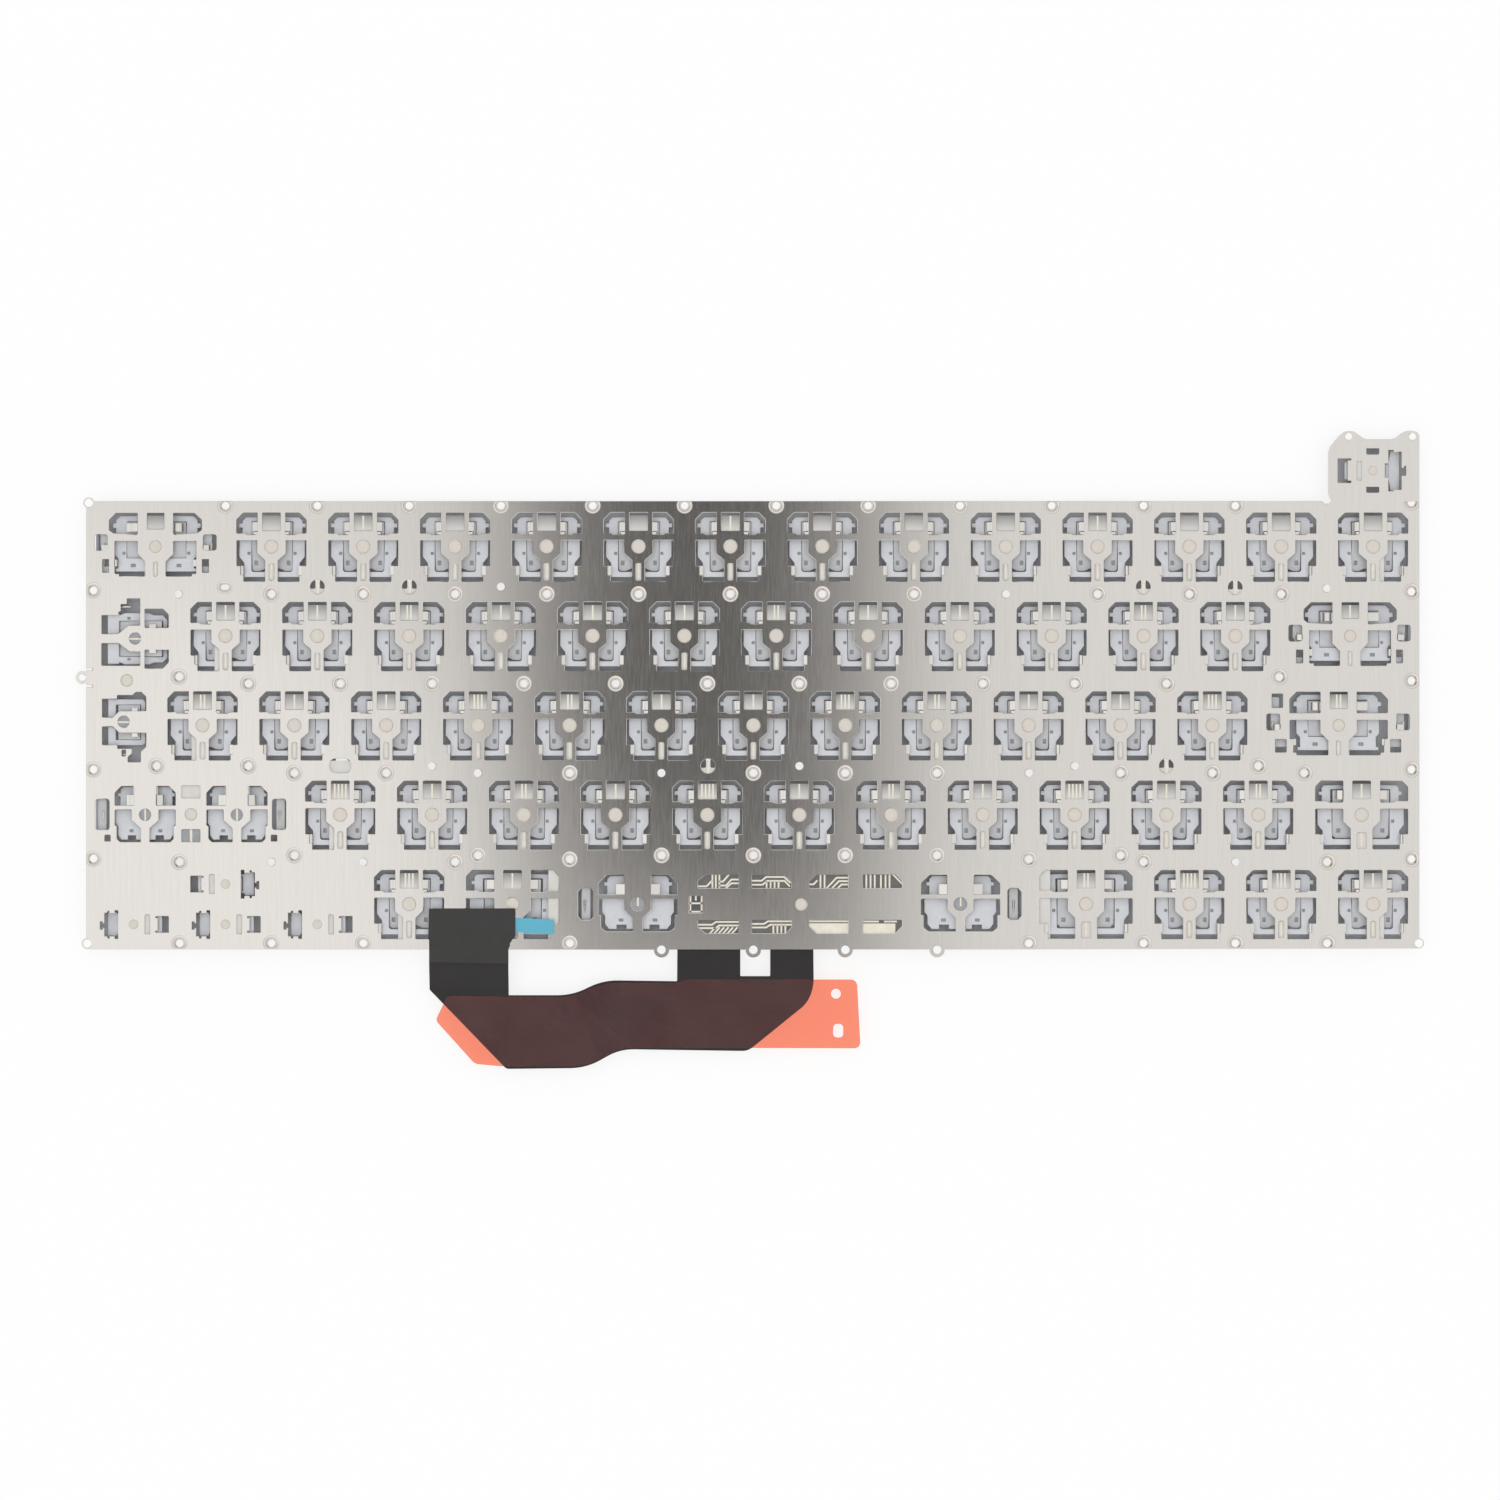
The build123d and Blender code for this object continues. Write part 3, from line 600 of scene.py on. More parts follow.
# Windows that stand by themselves, in the picture's dots
lookHoles = [(317.2, 586.8), (409.2, 586.8), (1143.5, 587), (1235.4, 587.5), (708, 766), (1166.5, 766)]
looseWindows = {
    "delete bar": [(94.2, 107.6, 534.2, 550.4, 2.5, 3), (202.8, 216.2, 534.2, 550.4, 2.5, 3),
        (101.9, 108.9, 559, 572.5), (201.8, 208.6, 559, 572.5)],
    "tab bar": [(1288.8, 1302.4, 624.7, 641.2, 2.5, 3), (1397.4, 1410.8, 624.7, 641.2, 2.5, 3),
        (1296.4, 1303.4, 649.6, 663), (1396.2, 1403.2, 649.6, 663)],
    "caps bar": [(1266.7, 1280.4, 713.6, 730.2, 2.5, 3), (1396.4, 1410, 713.6, 730.2, 2.5, 3),
        (1275.6, 1286.8, 739.2, 752.4), (1390.2, 1401.4, 739.2, 752.4), (1272, 1283.2, 693.6, 707.7)],
    "return upper": [[(101.4, 615.1), (118.2, 615.1), (118.2, 611.5), (120.5, 611.5), (120.5, 604),
        (126.6, 604), (126.6, 598.4), (139.9, 598.4), (139.9, 625.3), (128.8, 625.3), (118.2, 633.8),
        (101.4, 633.8)], [(101.3, 643.1), (118.3, 643.1), (129.1, 651.5), (140, 651.5), (140, 665.5),
        (101.3, 665.5)], [(144.4, 608.7), (162.4, 608.7), (168.4, 614.7), (168.4, 627.6), (144.4, 627.6)],
        [(144.4, 649.8), (168.4, 649.8), (168.4, 662.4), (162.4, 668.4), (144.4, 668.4)], (134.8, 638.4, 6)],
    "return lower": [[(101.9, 698.8), (116.9, 698.8), (116.9, 695), (132.3, 695), (135.5, 691.9),
        (141, 691.9), (146, 696.8), (146, 710.9), (119.6, 710.9), (112.6, 717.4), (101.9, 717.4)],
        [(101.9, 726.5), (112.6, 726.5), (119.4, 732.9), (146, 732.9), (146, 746.6), (140.5, 751.8),
        (140.5, 762.2), (127.5, 762.2), (127.5, 757), (131.6, 753.6), (131.6, 748.7), (117.1, 748.7),
        (117.1, 745), (101.9, 745)], (121.4, 125.6, 749.8, 756.2), (123.4, 721.7, 6), (126.6, 680.4, 6)],
    "shift middle": [(181.3, 200, 785.7, 798.3), (181.3, 200, 829.5, 842.1), (190.8, 814.4, 6),
        (95, 109.5, 798.9, 829.9, 3, 3), (271.9, 285.8, 798.9, 829.9, 3, 3), (104.3, 110.5, 835, 841.4),
        (270.7, 276.9, 835, 841.4)],
    "space sides": [[(1007.8, 890.5), (1010.5, 888), (1018, 888), (1021.6, 892), (1021.6, 916), (1018, 920),
        (1010.5, 920), (1007.8, 917.5)], [(577.9, 892), (581.5, 888), (590, 888), (592.8, 890.5),
        (592.8, 917.5), (590, 920), (581.5, 920), (577.9, 916)], (688.9, 702.7, 896, 913), (801.2, 904.3, 6)],
    "space traces": [[(706, 874.8), (738.7, 874.8), (738.7, 888.1), (698, 888.1), (698, 881)],
        [(751.9, 874.8), (784, 874.8), (791.5, 882), (791.5, 888.1), (751.9, 888.1)], [(817, 874.8),
        (848.1, 874.8), (848.1, 888.1), (809.3, 888.1), (809.3, 882)], [(863, 874.8), (896, 874.8),
        (902, 881), (902, 888.1), (863, 888.1)], [(698, 920.1), (738.7, 920.1), (738.7, 933.4), (706, 933.4),
        (698, 927)], [(751.9, 920.1), (791.5, 920.1), (791.5, 927), (786, 933.4), (751.9, 933.4)],
        [(809.3, 920.1), (848.1, 920.1), (848.1, 933.4), (817, 933.4), (809.3, 926)], [(863, 920.1),
        (902, 920.1), (902, 926), (895, 933.4), (863, 933.4)]],
    "inspection": [(x, y, 7.3) for x, y in lookHoles] + [(329.3, 350.9, 758.4, 773, 7, 6)],
}
for windows in looseWindows.values():
    plateHoles += [fromPicture(windowLoop(window)) for window in windows]


# Screw holes: units along the row and height in the picture
def alongRow(units, height):
    return [((keyX(unit)) / dot + pictureMiddle, height) for unit in units]


def everyUnit(start, count, skip=()):
    return [start + k for k in range(count) if k not in skip]


sideScrews = (502.3, 591.5, 680.7, 769.5, 859.1)
sunkHoles = (alongRow(everyUnit(1.5, 12), 505.6) + alongRow(everyUnit(2, 12, (8,)), 594)
             + alongRow(everyUnit(1.75, 11), 683.6) + alongRow(everyUnit(2.25, 12, (2, 4, 8)), 773)
             + alongRow((0.75, 1.75, 12.75), 766)
             + alongRow((2.25, 4.25, 6.25, 7.25, 8.25, 9.25, 11.25), 855.4)
             + alongRow((1.0, 4.0, 11.5, 13.5), 862) + alongRow((5.25, 10.25), 859.3)
             + alongRow((1, 2, 3, 5.25, 10.25, 11.5, 12.5, 13.5), 943.3) + [(1411.7, y) for y in sideScrews]
             + [(93.2, y) for y in (590.4, 769.5, 858.7)] + [(178.9, 676.7), (1279.5, 677)])
plainHoles = (alongRow((10,), 594) + alongRow((4.25, 6.25, 10.25), 773) + alongRow((3.75, 7.75, 10.75), 766)
              + alongRow((2.0, 3.0, 12.5), 862) + [(178.3, 594.1), (501, 586.8), (1326.8, 588.3)])
lugHoles = alongRow((6.25, 7.25, 8.25, 9.25), 949.65)
tabHoles = [(1348.9, 436.4), (1412.7, 436.4)]
cornerHoles = [(88.6, 502.8), (87.2, 943.5), (1419.0, 943.3)]
leftLug = (82.1, 677.5)
plateOutline = {
    "start": [(86, 687.2), (92.8, 687.2), (92.8, 685.2), (86, 685.2)],
    "leftLugRadius": 6.68,
    "afterLug": [(86, 670.4), (92.8, 670.4), (92.8, 668.4), (86, 668.4)],
    "notch": [(1321.5, 500.8), (1324, 503.4), (1328.6, 503.8), (1331.2, 500.6), (1329.4, 496.4),
        (1328.4, 493.6)],
    "tab": [(1328.4, 452), (1330.3, 446.5), (1334.2, 441.4), (1339.4, 435.4), (1344.2, 431.6),
        (1349.4, 430.6), (1354.6, 431.6), (1359.4, 435.2), (1363.6, 438.2), (1367.6, 439), (1391.6, 439),
        (1396, 437.4), (1400.8, 433.4), (1405.6, 430.9), (1412, 430.5), (1417, 431.6), (1419.6, 435.4)],
}


# Part of a circle about (x, y), angles in degrees with y down
def arcPoints(x, y, radius, start, end, count=9):
    angle = np.radians(np.linspace(start, end, count))
    return np.stack([x + radius * np.cos(angle), y + radius * np.sin(angle)], 1).tolist()


outline = plateOutline["start"] + arcPoints(*leftLug, plateOutline["leftLugRadius"], 54, 306, 15)
outline += plateOutline["afterLug"] + arcPoints(*cornerHoles[0], 5.6, 118, 340)
outline += plateOutline["notch"] + plateOutline["tab"] + arcPoints(*cornerHoles[2], 5.3, -84, 84)
for x, y in reversed(lugHoles):
    outline += arcPoints(x, y, 7.9, 0, 180, 13)
outline += arcPoints(*cornerHoles[1], 5.9, 92, 258)
plateEdge = 0.09 * mm
sunkSizes = {"edges": (86.5, 1419.1, 501.3, 948.9), "lip": 0.2, "foot": 1.55, "count": 22,
             "slope": [(1, 0), (0.90, 0.16), (0.5, 0.56), (0.26, 0.72), (0.11, 0.78), (0, 0.84)],
             "shadedRings": (0, 2, 4)}


# A sunk hole: rings from the outer radius down to the lip and through the bore; the outer radius is the
# smaller of the full radius and the distance to the plate's edge along that direction
def sunkHole(x, y, full, stretch=0.0, bore=3.7):
    count = sunkSizes["count"]
    angle = np.arange(count) * 2 * np.pi / count
    across, upward = np.cos(angle), np.sin(angle)
    left, right, top, bottom = sunkSizes["edges"]
    room = np.full(count, full)
    for distance, share in ((right - x, across), (x - left, -across),
                            (y - top, upward), (bottom - y, -upward)):
        room = np.where(share > 0.05, np.minimum(room, distance / np.maximum(share, 0.05)), room)
    thickness = plateHigh - plateLow
    lower = plateHigh - sunkSizes["foot"] * thickness
    lip = bore + sunkSizes["lip"]
    sunk = [(lip + (room - lip) * share, plateHigh - depth * thickness)
            for share, depth in sunkSizes["slope"]]
    sunk += [(np.full(count, bore), plateHigh - 0.9 * thickness), (np.full(count, bore), lower),
             (lip + (room - lip) * 0.3, lower), (room, plateLow)]
    middle = x + stretch * np.sign(across)
    rings = [atHeight(fromPicture(np.stack([middle + r * across, y - r * upward], 1)), z) for r, z in sunk]
    points, blocks = ringStrips(rings)
    return rings[0][:, :2], (points, list(blocks[0].reshape(-1, count, 4)))


sunk = [sunkHole(x, y, 8.1) for x, y in sunkHoles] + [sunkHole(224.6, 587.2, 6.2, 1.6, 2.5)]
sunkLoops, sunkShapes = [runLeft(loop, False) for loop, shape in sunk], [shape for loop, shape in sunk]
for spots, radius in ((plainHoles, 3.9), (lugHoles + cornerHoles, 4.2), (tabHoles + [leftLug], 3.5)):
    plateHoles += [fromPicture(circleLoop(x, y, radius)) for x, y in spots]
loops = [runLeft(fromPicture(outline))] + [runLeft(loop, False) for loop in plateHoles]
sides = [rim(loop, [(0, plateLow), (0, plateHigh - plateEdge), (plateEdge, plateHigh)]) for loop in loops]
plateShape = joined([filled([shifted(loop, plateEdge) for loop in loops] + sunkLoops, plateHigh),
                     filled(loops + sunkLoops, plateLow, False)] + sides + sunkShapes)
# Painted shade: the outer edge strip and two inner steps of each sunk hole take a darker brown
sunkShadedBlocks = {2 + len(sides) + 9 * number + ring for number in range(len(sunkShapes))
                 for ring in sunkSizes["shadedRings"]}


# Steel hooks bent down from the window edges: z falls as a cosine from the plate to the tip
def hookTongue(root, tip, near, far, drop):
    t = np.linspace(0, 1, hookSizes["steps"])
    x = (root + (tip - root) * t) * dot
    top = plateHigh - hookSizes["below"] - drop * (0.5 - 0.5 * np.cos(np.pi * t))
    profile = np.concatenate([np.stack([x, top], 1), np.stack([x, top - hookSizes["thick"]], 1)[::-1]])
    return carriedProfile(profile, -near * dot, -far * dot)


hookSizes = {"steps": 7, "below": 0.02 * mm, "thick": 0.2 * mm}

# Each hook: root and tip, near and far side in dots, and drop in millimetres
hooks = {
    "narrow": [(13.7, 18.8, -24.4, -15.6, 0.34), (13.7, 17.6, -14.6, -12.2, 0.2),
        (30.9, 27.2, 19.4, 28.6, 0.12)],
    "wide": [(18.2, 25.6, -24.4, -15.4, 0.34), (41.6, 38, 19.8, 28.4, 0.12)],
    "bar": [(17.7, 28.8, -23.2, -15, 0.34), (41, 37.8, 13.2, 19.8, 0.12), (47.5, 54, -1.4, 4.2, 0.3)],
    "caps": [(18.2, 29, -23.2, -15, 0.34), (45.6, 42.8, 13.6, 19.8, 0.12), (58.2, 65, -1, 4.8, 0.3)],
    "space": [(13.2, 22, -20, -9.9, 0.34)],
    "shift": [(11, 18.6, -19.8, -9.5, 0.34)],
    "return": [(10.7, 14.4, -20.8, -14.4, 0.3)],
    "returnFoot": [(11, 14.6, -14, -8.4, 0.3)],
}
hookShapes = [moved(hookTongue(side * root, side * tip, near, far, drop * mm), x, y, turn=turn)
              for name, kind, x, y, turn in mechanisms
              for root, tip, near, far, drop in hooks.get(kind, []) for side in (-1, 1)]
newPiece("steelPlate", joined([plateShape] + hookShapes), "brushedSteel", "steel_plate", ["base_plate"],
         sharp=0.35, second=("sunkRingPaintedShade", sunkShadedBlocks))
print("steel plate made")

# Beige adhesive spots in the round windows, crowned: z = top - crown (r / R)^2
spotSizes = {"top": 0.1 * mm, "crown": 0.05 * mm, "rings": 5,
             "radius": ((6.6, ("narrow", "wide")), (5.8, ("bar", "caps")), (4.5, ("slim",)))}


def crownedSpot(x, y, radius):
    rings = [atHeight(circleLoop(0, 0, radius), filmHigh)]
    for s in np.linspace(1, 0.02, spotSizes["rings"]):
        height = plateHigh - spotSizes["top"] - spotSizes["crown"] * s * s
        rings.append(atHeight(circleLoop(0, 0, s * radius), height))
    points, blocks = withEnds(ringStrips(rings), len(rings[0]))
    return points + (x, y, 0), [blocks[0], blocks[2]]


spots = [crownedSpot(x, y, radius * dot) for radius, kinds in spotSizes["radius"] for x, y in middles(*kinds)]
spots += [crownedSpot(x, y, 5.8 * dot)
          for x, y in fromPicture([(190.8, 814.4), (801.2, 904.3), (126.6, 680.4)])]
newPiece("adhesiveSpots", joined(spots), "adhesiveSpot", "film")

# The circuit film

filmSizes = {"half": 10.6, "foot": 5.2, "top": -35.2, "bottom": 35.3, "slotTop": -31,
             "left": 91.6, "right": 1414.6, "upper": 510.6, "lower": 939.9, "notch": 5.2, "notchDeep": 7.2,
             "spans": {"narrow": 36, "wide": 47.5, "bar": 62.4, "caps": 73.4},
             "openings": {"space": 40.3, "shift": 31.2}}


# The opening between two keys: as wide as the gap between their film strips, narrower beside the slots
def betweenKeys(x1, x2, y):
    half, foot, top, bottom = [filmSizes[word] for word in ("half", "foot", "top", "bottom")]
    left, right = x1 / dot, x2 / dot
    loop = np.array([(left + half, top), (right - half, top), (right - half, 7.5), (right - foot, 13),
                     (right - foot, bottom), (left + foot, bottom), (left + foot, 13), (left + half, 7.5)])
    return inMetres(loop, 0, y)


def besideKey(x, left, right, y, top=-35, bottom=34.8):
    return inMetres(boxLoop(x / dot + left, x / dot + right, top, bottom), 0, y)


filmHoles = []
for row in range(5):
    inRow, y = alongKeys(row), rowY(row)
    for (x1, kind), (x2, following) in zip(inRow[:-1], inRow[1:]):
        if x2 - x1 < 1.8 * keyUnit:
            filmHoles.append(betweenKeys(x1, x2, y))
        else:
            filmHoles += [besideKey(x1, 11, 36, y), besideKey(x2, -36, -11, y)]
    (x1, first), (x2, final) = inRow[0], inRow[-1]
    filmHoles.append(besideKey(x1, -filmSizes["spans"][first], -11, y))
    filmHoles.append(besideKey(x2, 11, filmSizes["spans"][final], y))
    filmHoles += [besideKey(x, -9.9, 9.9, y, filmSizes["top"], filmSizes["slotTop"]) for x, kind in inRow]
for name, kind, x, y, turn in mechanisms:
    if kind in filmSizes["openings"]:
        reach = filmSizes["openings"][kind]
        opening = roundedLoop([(-12.4, -29.8), (-reach, -29.8), (-reach, 28), (-4.4, 28), (-4.4, 13),
                               (-12.4, 5.2)])
        filmHoles += [inMetres(loop, x, y) for loop in overSides([opening])]
    if kind == "slim":
        boxes = [(-35.6, -20.4, -13, 13), (15, 34.6, -15.4, 15.4)]
        if name == "esc":
            boxes = [boxes[0], (11, 34.6, -22, 22), (-7.6, 6.9, -23.2, -15.2), (-7.6, 6.9, 15.4, 23)]
        filmHoles += [inMetres(boxLoop(*box) * (-1 if turn else 1, 1), x, y) for box in boxes]
filmHoles += [fromPicture(boxLoop(*box)) for box in (
    (93.8, 111.4, 797.8, 842.4), (270.2, 287, 797.8, 842.4), (100, 141.2, 597, 634.8),
    (100, 141.2, 642, 666.6), (143.2, 169.6, 607.6, 628.8), (143.2, 169.6, 648.6, 669.6),
    (100.4, 147, 690.6, 718.6), (100.4, 147, 725.2, 763.4), (1006.6, 1022.8, 886.8, 921.2),
    (576.8, 594, 886.8, 921.2), (219.8, 229.4, 583.6, 590.8, 2, 3))]
filmHoles += [fromPicture(circleLoop(x, y, 4.5, 12)) for x, y in sunkHoles[12:] + plainHoles
              if 96 < x < 1405 and y < 940]


# The film's edge steps in beside each screw of the plate's side
def besideScrews(x, inward, heights):
    reach, deep = filmSizes["notch"], filmSizes["notchDeep"] * inward
    steps = ((0, -reach), (deep, -reach), (deep, reach), (0, reach))
    return [(x + across, y + way * up) for y, way in heights for across, up in steps]


filmLoop = [(filmSizes["left"], filmSizes["lower"])]
filmLoop += besideScrews(filmSizes["left"], 1, [(y, -1) for y in (858.7, 769.5, 590.4)])
filmLoop += [(filmSizes["left"], filmSizes["upper"]), (1334, filmSizes["upper"]), (1334, 450), (1346, 441),
             (1413, 441), (filmSizes["right"], 442.6)]
filmLoop += besideScrews(filmSizes["right"], -1, [(y, 1) for y in sideScrews])
filmLoop += [(filmSizes["right"], filmSizes["lower"])]
filmShape = punchedSheet(fromPicture(filmLoop), filmHoles, filmLow, filmHigh, 0.02 * mm)
newPiece("circuitFilm", filmShape, "circuitFilm", "film", ["membrane_circuit"])


# A strip along a path: the path moved to both sides by half the width, along its mitres
def track(path, width=1.7):
    path = np.array(path, float)
    ahead = np.diff(path, axis=0)
    ahead /= np.linalg.norm(ahead, axis=1, keepdims=True)
    normal = np.stack([-ahead[:, 1], ahead[:, 0]], 1)
    before, after = np.concatenate([normal[:1], normal]), np.concatenate([normal, normal[-1:]])
    mitre = (before + after) / np.maximum(1 + np.sum(before * after, 1, keepdims=True), 0.5)
    return np.concatenate([path + width / 2 * mitre, (path - width / 2 * mitre)[::-1]])


# Painted shade: the film in each key's upper window is darker towards the row's head
filmPaintedShadeLook = {
    "light": (0.66, 0.65, 0.62),
    "dark": (0.27, 0.268, 0.26),
    "rough": (0.3, 0.45),
    "head": 0.15,
    "foot": 0.31,
    "grain": 1500,
}


# Painted shade on the film in a key row's window: the share of the row passed, (top row - y) / row pitch +
# 1/2 less its whole part, goes from dark at the row's head to light
def rowFilmPaintedShade(name, look):
    material, tree, shader = newFinish(name, look["light"], look["rough"][0])
    place = addNode(tree, "TexCoord")
    split = addNode(tree, "SeparateXYZ")
    rows = addNode(tree, "Math", operation="MULTIPLY_ADD")
    rows.inputs[1].default_value = -1 / rowPitch
    rows.inputs[2].default_value = topRow / rowPitch + 0.5
    part = addNode(tree, "Math", operation="FRACT")
    connect(tree, (place, "Object", split, "Vector"), (split, "Y", rows, 0), (rows, 0, part, 0))
    fraction = spread(tree, part.outputs[0], 0.3, 0.7, look["head"], look["foot"])
    tree.links.new(shade(tree, fraction, look["dark"], look["light"]), shader.inputs["Base Color"])
    tree.links.new(spread(tree, patternOn(tree, look["grain"]), *look["rough"]), shader.inputs["Roughness"])
    return material


# On the film: thin raised strips for the printed traces, and darker patches thinner than they are, most of
# them painted shade
traceHigh, shadeHigh = filmHigh + 0.03 * mm, filmHigh + 0.012 * mm


def strip(loop):
    return slab(loop, filmHigh, traceHigh)


def patch(loop):
    return slab(loop, filmHigh, shadeHigh)


def patches(boxes):
    return [patch(fromPicture(boxLoop(*box))) for box in boxes]


traces, paintedShades = [], []
traceCounts = [(0, 0, 1, 0), (1, 1, 2, 1), (2, 1, 1, 3), (4, 1, 2, 1), (3, 1, 2, 4)]
for row in range(5):
    y = rowY(row)
    for number, (x, kind) in enumerate(alongKeys(row)):
        count = traceCounts[row][number % 4]
        for k in range(count):
            shift = (k - (count - 1) / 2) * 3.7
            traces.append(strip(inMetres(boxLoop(shift - 0.85, shift + 0.85, -30.8, -15.2, 0.2), x, y)))
        traces.append(strip(inMetres(boxLoop(-0.9, 0.9, 16, 31.5, 0.3), x, y)))
        paintedShades.append(patch(inMetres(boxLoop(-10, 10, -30.9, -14.8, 0.2), x, y)))
slotTracks = [[(x, top), (x, bottom)] for top, bottom, row in (
    (873.8, 889.1, (712.4, 715.8, 719.4, 820.5, 824.6, 866.4, 870.6, 874.8, 881, 885.6, 889.6)),
    (881.4, 889.1, (766.6, 770.6, 774.6, 778.6)), (925, 934.4, (773.4, 777.4, 781.4, 785.4))) for x in row]
slotTracks += [[(709 + 4.4 * k, 934.6), (715.4 + 4.4 * k, 927.4)] for k in range(6)]
slotTracks += [
    [(719, 885.6), (726, 885.6), (731.4, 879.6), (739.8, 879.6)], [(719, 881.6), (723, 881.6), (729, 874.6)],
    [(725, 889), (731.4, 883.4), (739.8, 883.4)], [(697, 886.4), (706.6, 886.4), (712, 880.6)],
    [(750.8, 880.8), (761.6, 880.8), (766.2, 877), (784, 877), (790.6, 883)],
    [(750.8, 884.8), (762.6, 884.8), (767, 881), (784.6, 881), (790, 886.6)],
    [(826.4, 888.6), (836.6, 877.8), (849.2, 877.8)], [(831.6, 888.8), (839, 881.2), (849.2, 881.2)],
    [(837, 889), (841.6, 884.6), (849.2, 884.6)], [(808.4, 884.4), (813.6, 884.4), (817.4, 880.4)],
    [(892.6, 874), (902.8, 884.4)], [(697, 924.8), (712, 924.8), (716, 922), (739.8, 922)],
    [(697, 928.2), (715.8, 928.2), (719, 925.6), (739.8, 925.6)],
    [(750.8, 924), (764, 924), (768, 921.4), (792.6, 921.4)],
    [(750.8, 927.6), (766, 927.6), (770.4, 924.8), (792.6, 924.8)], [(688, 903.4), (703.6, 903.4)],
    [(690.4, 896), (690.4, 913)], [(701.6, 896), (701.6, 913)], [(688, 911.8), (703.6, 911.8)],
    [(695.8, 896), (695.8, 900.6)], [(808.4, 921.4), (849.2, 921.4)], [(862, 921.6), (879, 921.6)],
    [(884, 921.6), (897, 921.6)]]
traces += [strip(fromPicture(track(path))) for path in slotTracks]
traces += [strip(fromPicture(boxLoop(*box)))
           for box in ((808.3, 849.1, 923.4, 934.4), (862, 895.4, 923.6, 934.4))]
traces += [strip(fromPicture(track([(x + 0.4, y - 7.6), (x + 0.4, y + 7.6)], 2.2))) for x, y in lookHoles]
traces += [strip(fromPicture(track([(x - 6.4, y + 0.4), (x + 6.4, y + 0.4)])))
           for x, y in ((134.8, 638.4), (123.4, 721.7))]
traceEnds = {"space": 2, "shift": 7.4}
traces += [strip(inMetres(track([(0, -7.4), (0, traceEnds[kind])]), x, y))
           for name, kind, x, y, turn in mechanisms if kind in traceEnds]
traces.append(strip(fromPicture(track([(190.8, 828.7), (190.8, 843)], 2.4))))
# Painted shade: darker film in the space bar's trace slots
slotShades = patches((left, right, top, bottom)
                     for left, right in ((697, 739.7), (750.9, 792.5), (808.3, 849.1), (862, 903))
                     for top, bottom in ((873.8, 889.1), (919.1, 934.4)))
# Painted shade: mid-grey discs on the film in the round windows of the space, shift and return mechanisms,
# and a patch in the shift's middle slot
discShades = [patch(inMetres(circleLoop(0, 0, 7), x, y))
              for x, y in middles("space", "shift", "return", "returnFoot")]
discShades += patches([(180.4, 200.9, 828.7, 843)])
# Dark patches on the film beside the pale trace in each look hole
inkSpots = patches((x + left, x + right, y - 7.6, y + 1.8, 1) for x, y in lookHoles
                   for left, right in ((-7.6, -2), (2.4, 7.6)))
# Painted shade: a dark patch standing in for the film's square opening onto the shaded keycap underside
inkSpots += patches([(687.8, 703.8, 894.8, 914.2)])
finishes["circuitFilmPaintedShade"] = rowFilmPaintedShade("circuitFilmPaintedShade", filmPaintedShadeLook)
for name, shapes, finish in (
        ("circuitTraces", traces, "circuitTrace"), ("circuitShades", paintedShades, "circuitFilmPaintedShade"),
        ("slotShades", slotShades, "slotPaintedShade"), ("discShades", discShades, "paintedShadeMid"),
        ("inkSpots", inkSpots, "circuitDarkAndPaintedShade")):
    newPiece(name, joined(shapes), finish, "film")
print("circuit film made")

# Scissor frames

frameZ = capHigh + (filmLow - capHigh) / 2
frameThick = 0.5 * mm
frameEdge = 0.06 * mm
pocketDeep = 0.3 * mm
narrowOuter = [(0, -29.8), (26.6, -29.8), (30, -26.4), (30, -23.8), (33.4, -23.6), (33.4, -19.8), (30, -19.6),
    (30, -12), (32.8, -8.5), (32.8, 9.8), (27.7, 16.2), (27.7, 25), (30.6, 25.2), (30.6, 27.8), (27.7, 28),
    (27.7, 30.3), (6.2, 30.3), (6.2, 25.2), (19, 25.2), (20.7, 23.6), (20.7, -25.6), (0, -25.6)]
narrowInner = [(0, -24.3), (20.2, -24.3), (20.2, 22.6), (18.6, 24.2), (12.5, 24), (7.5, 21.6), (0, 21.6)]
barOuter = [(0, -31), (36.4, -31), (40.8, -27), (40.8, -24), (44, -23.6), (44, -19.4), (40.8, -19),
    (40.8, -12), (41.4, -8), (41.4, 8), (38, 11.8), (38, 21.6), (40.4, 21.9), (40.4, 24.6), (38, 24.8),
    (9.6, 24.8), (9.6, 11.4), (29.9, 11.4), (29.9, -25.5), (0, -25.5)]
barInner = [(0, -24.4), (29.5, -24.4), (29.5, 11), (0, 11)]
wideOuter = [(0, -29.6), (36, -29.6), (38.6, -27), (38.6, -23.2), (41.6, -22.9), (41.6, -19.8), (38.6, -19.5),
    (38.6, -12), (43.2, -8.5), (43.2, 10), (38.4, 16), (38.4, 25), (41.8, 25.2), (41.8, 28), (38.4, 28.2),
    (38.4, 30.2), (10.6, 30.2), (10.6, 24.4), (28, 24.4), (29, 23.4), (29, -8), (30, -10), (30, -25.3),
    (0, -25.3)]
wideInner = [(0, -24.3), (28.2, -24.3), (28.2, 20.4), (25, 23.6), (0, 23.6)]
spaceOuter = [(0, -28), (28, -28), (31, -25), (31, -22), (34, -21.5), (34, -18.5), (31, -18), (31, -10),
    (36, -6), (36, 8), (33, 12), (33, 20), (29, 25), (21.5, 25), (21.5, 20.7), (11.5, 20.7), (11.5, 25),
    (4.4, 25), (4.4, 12.6), (13, 5), (13, -24), (0, -24)]
spaceInner = [(0, -23), (12, -23), (12, 4.4), (0, 4.4)]
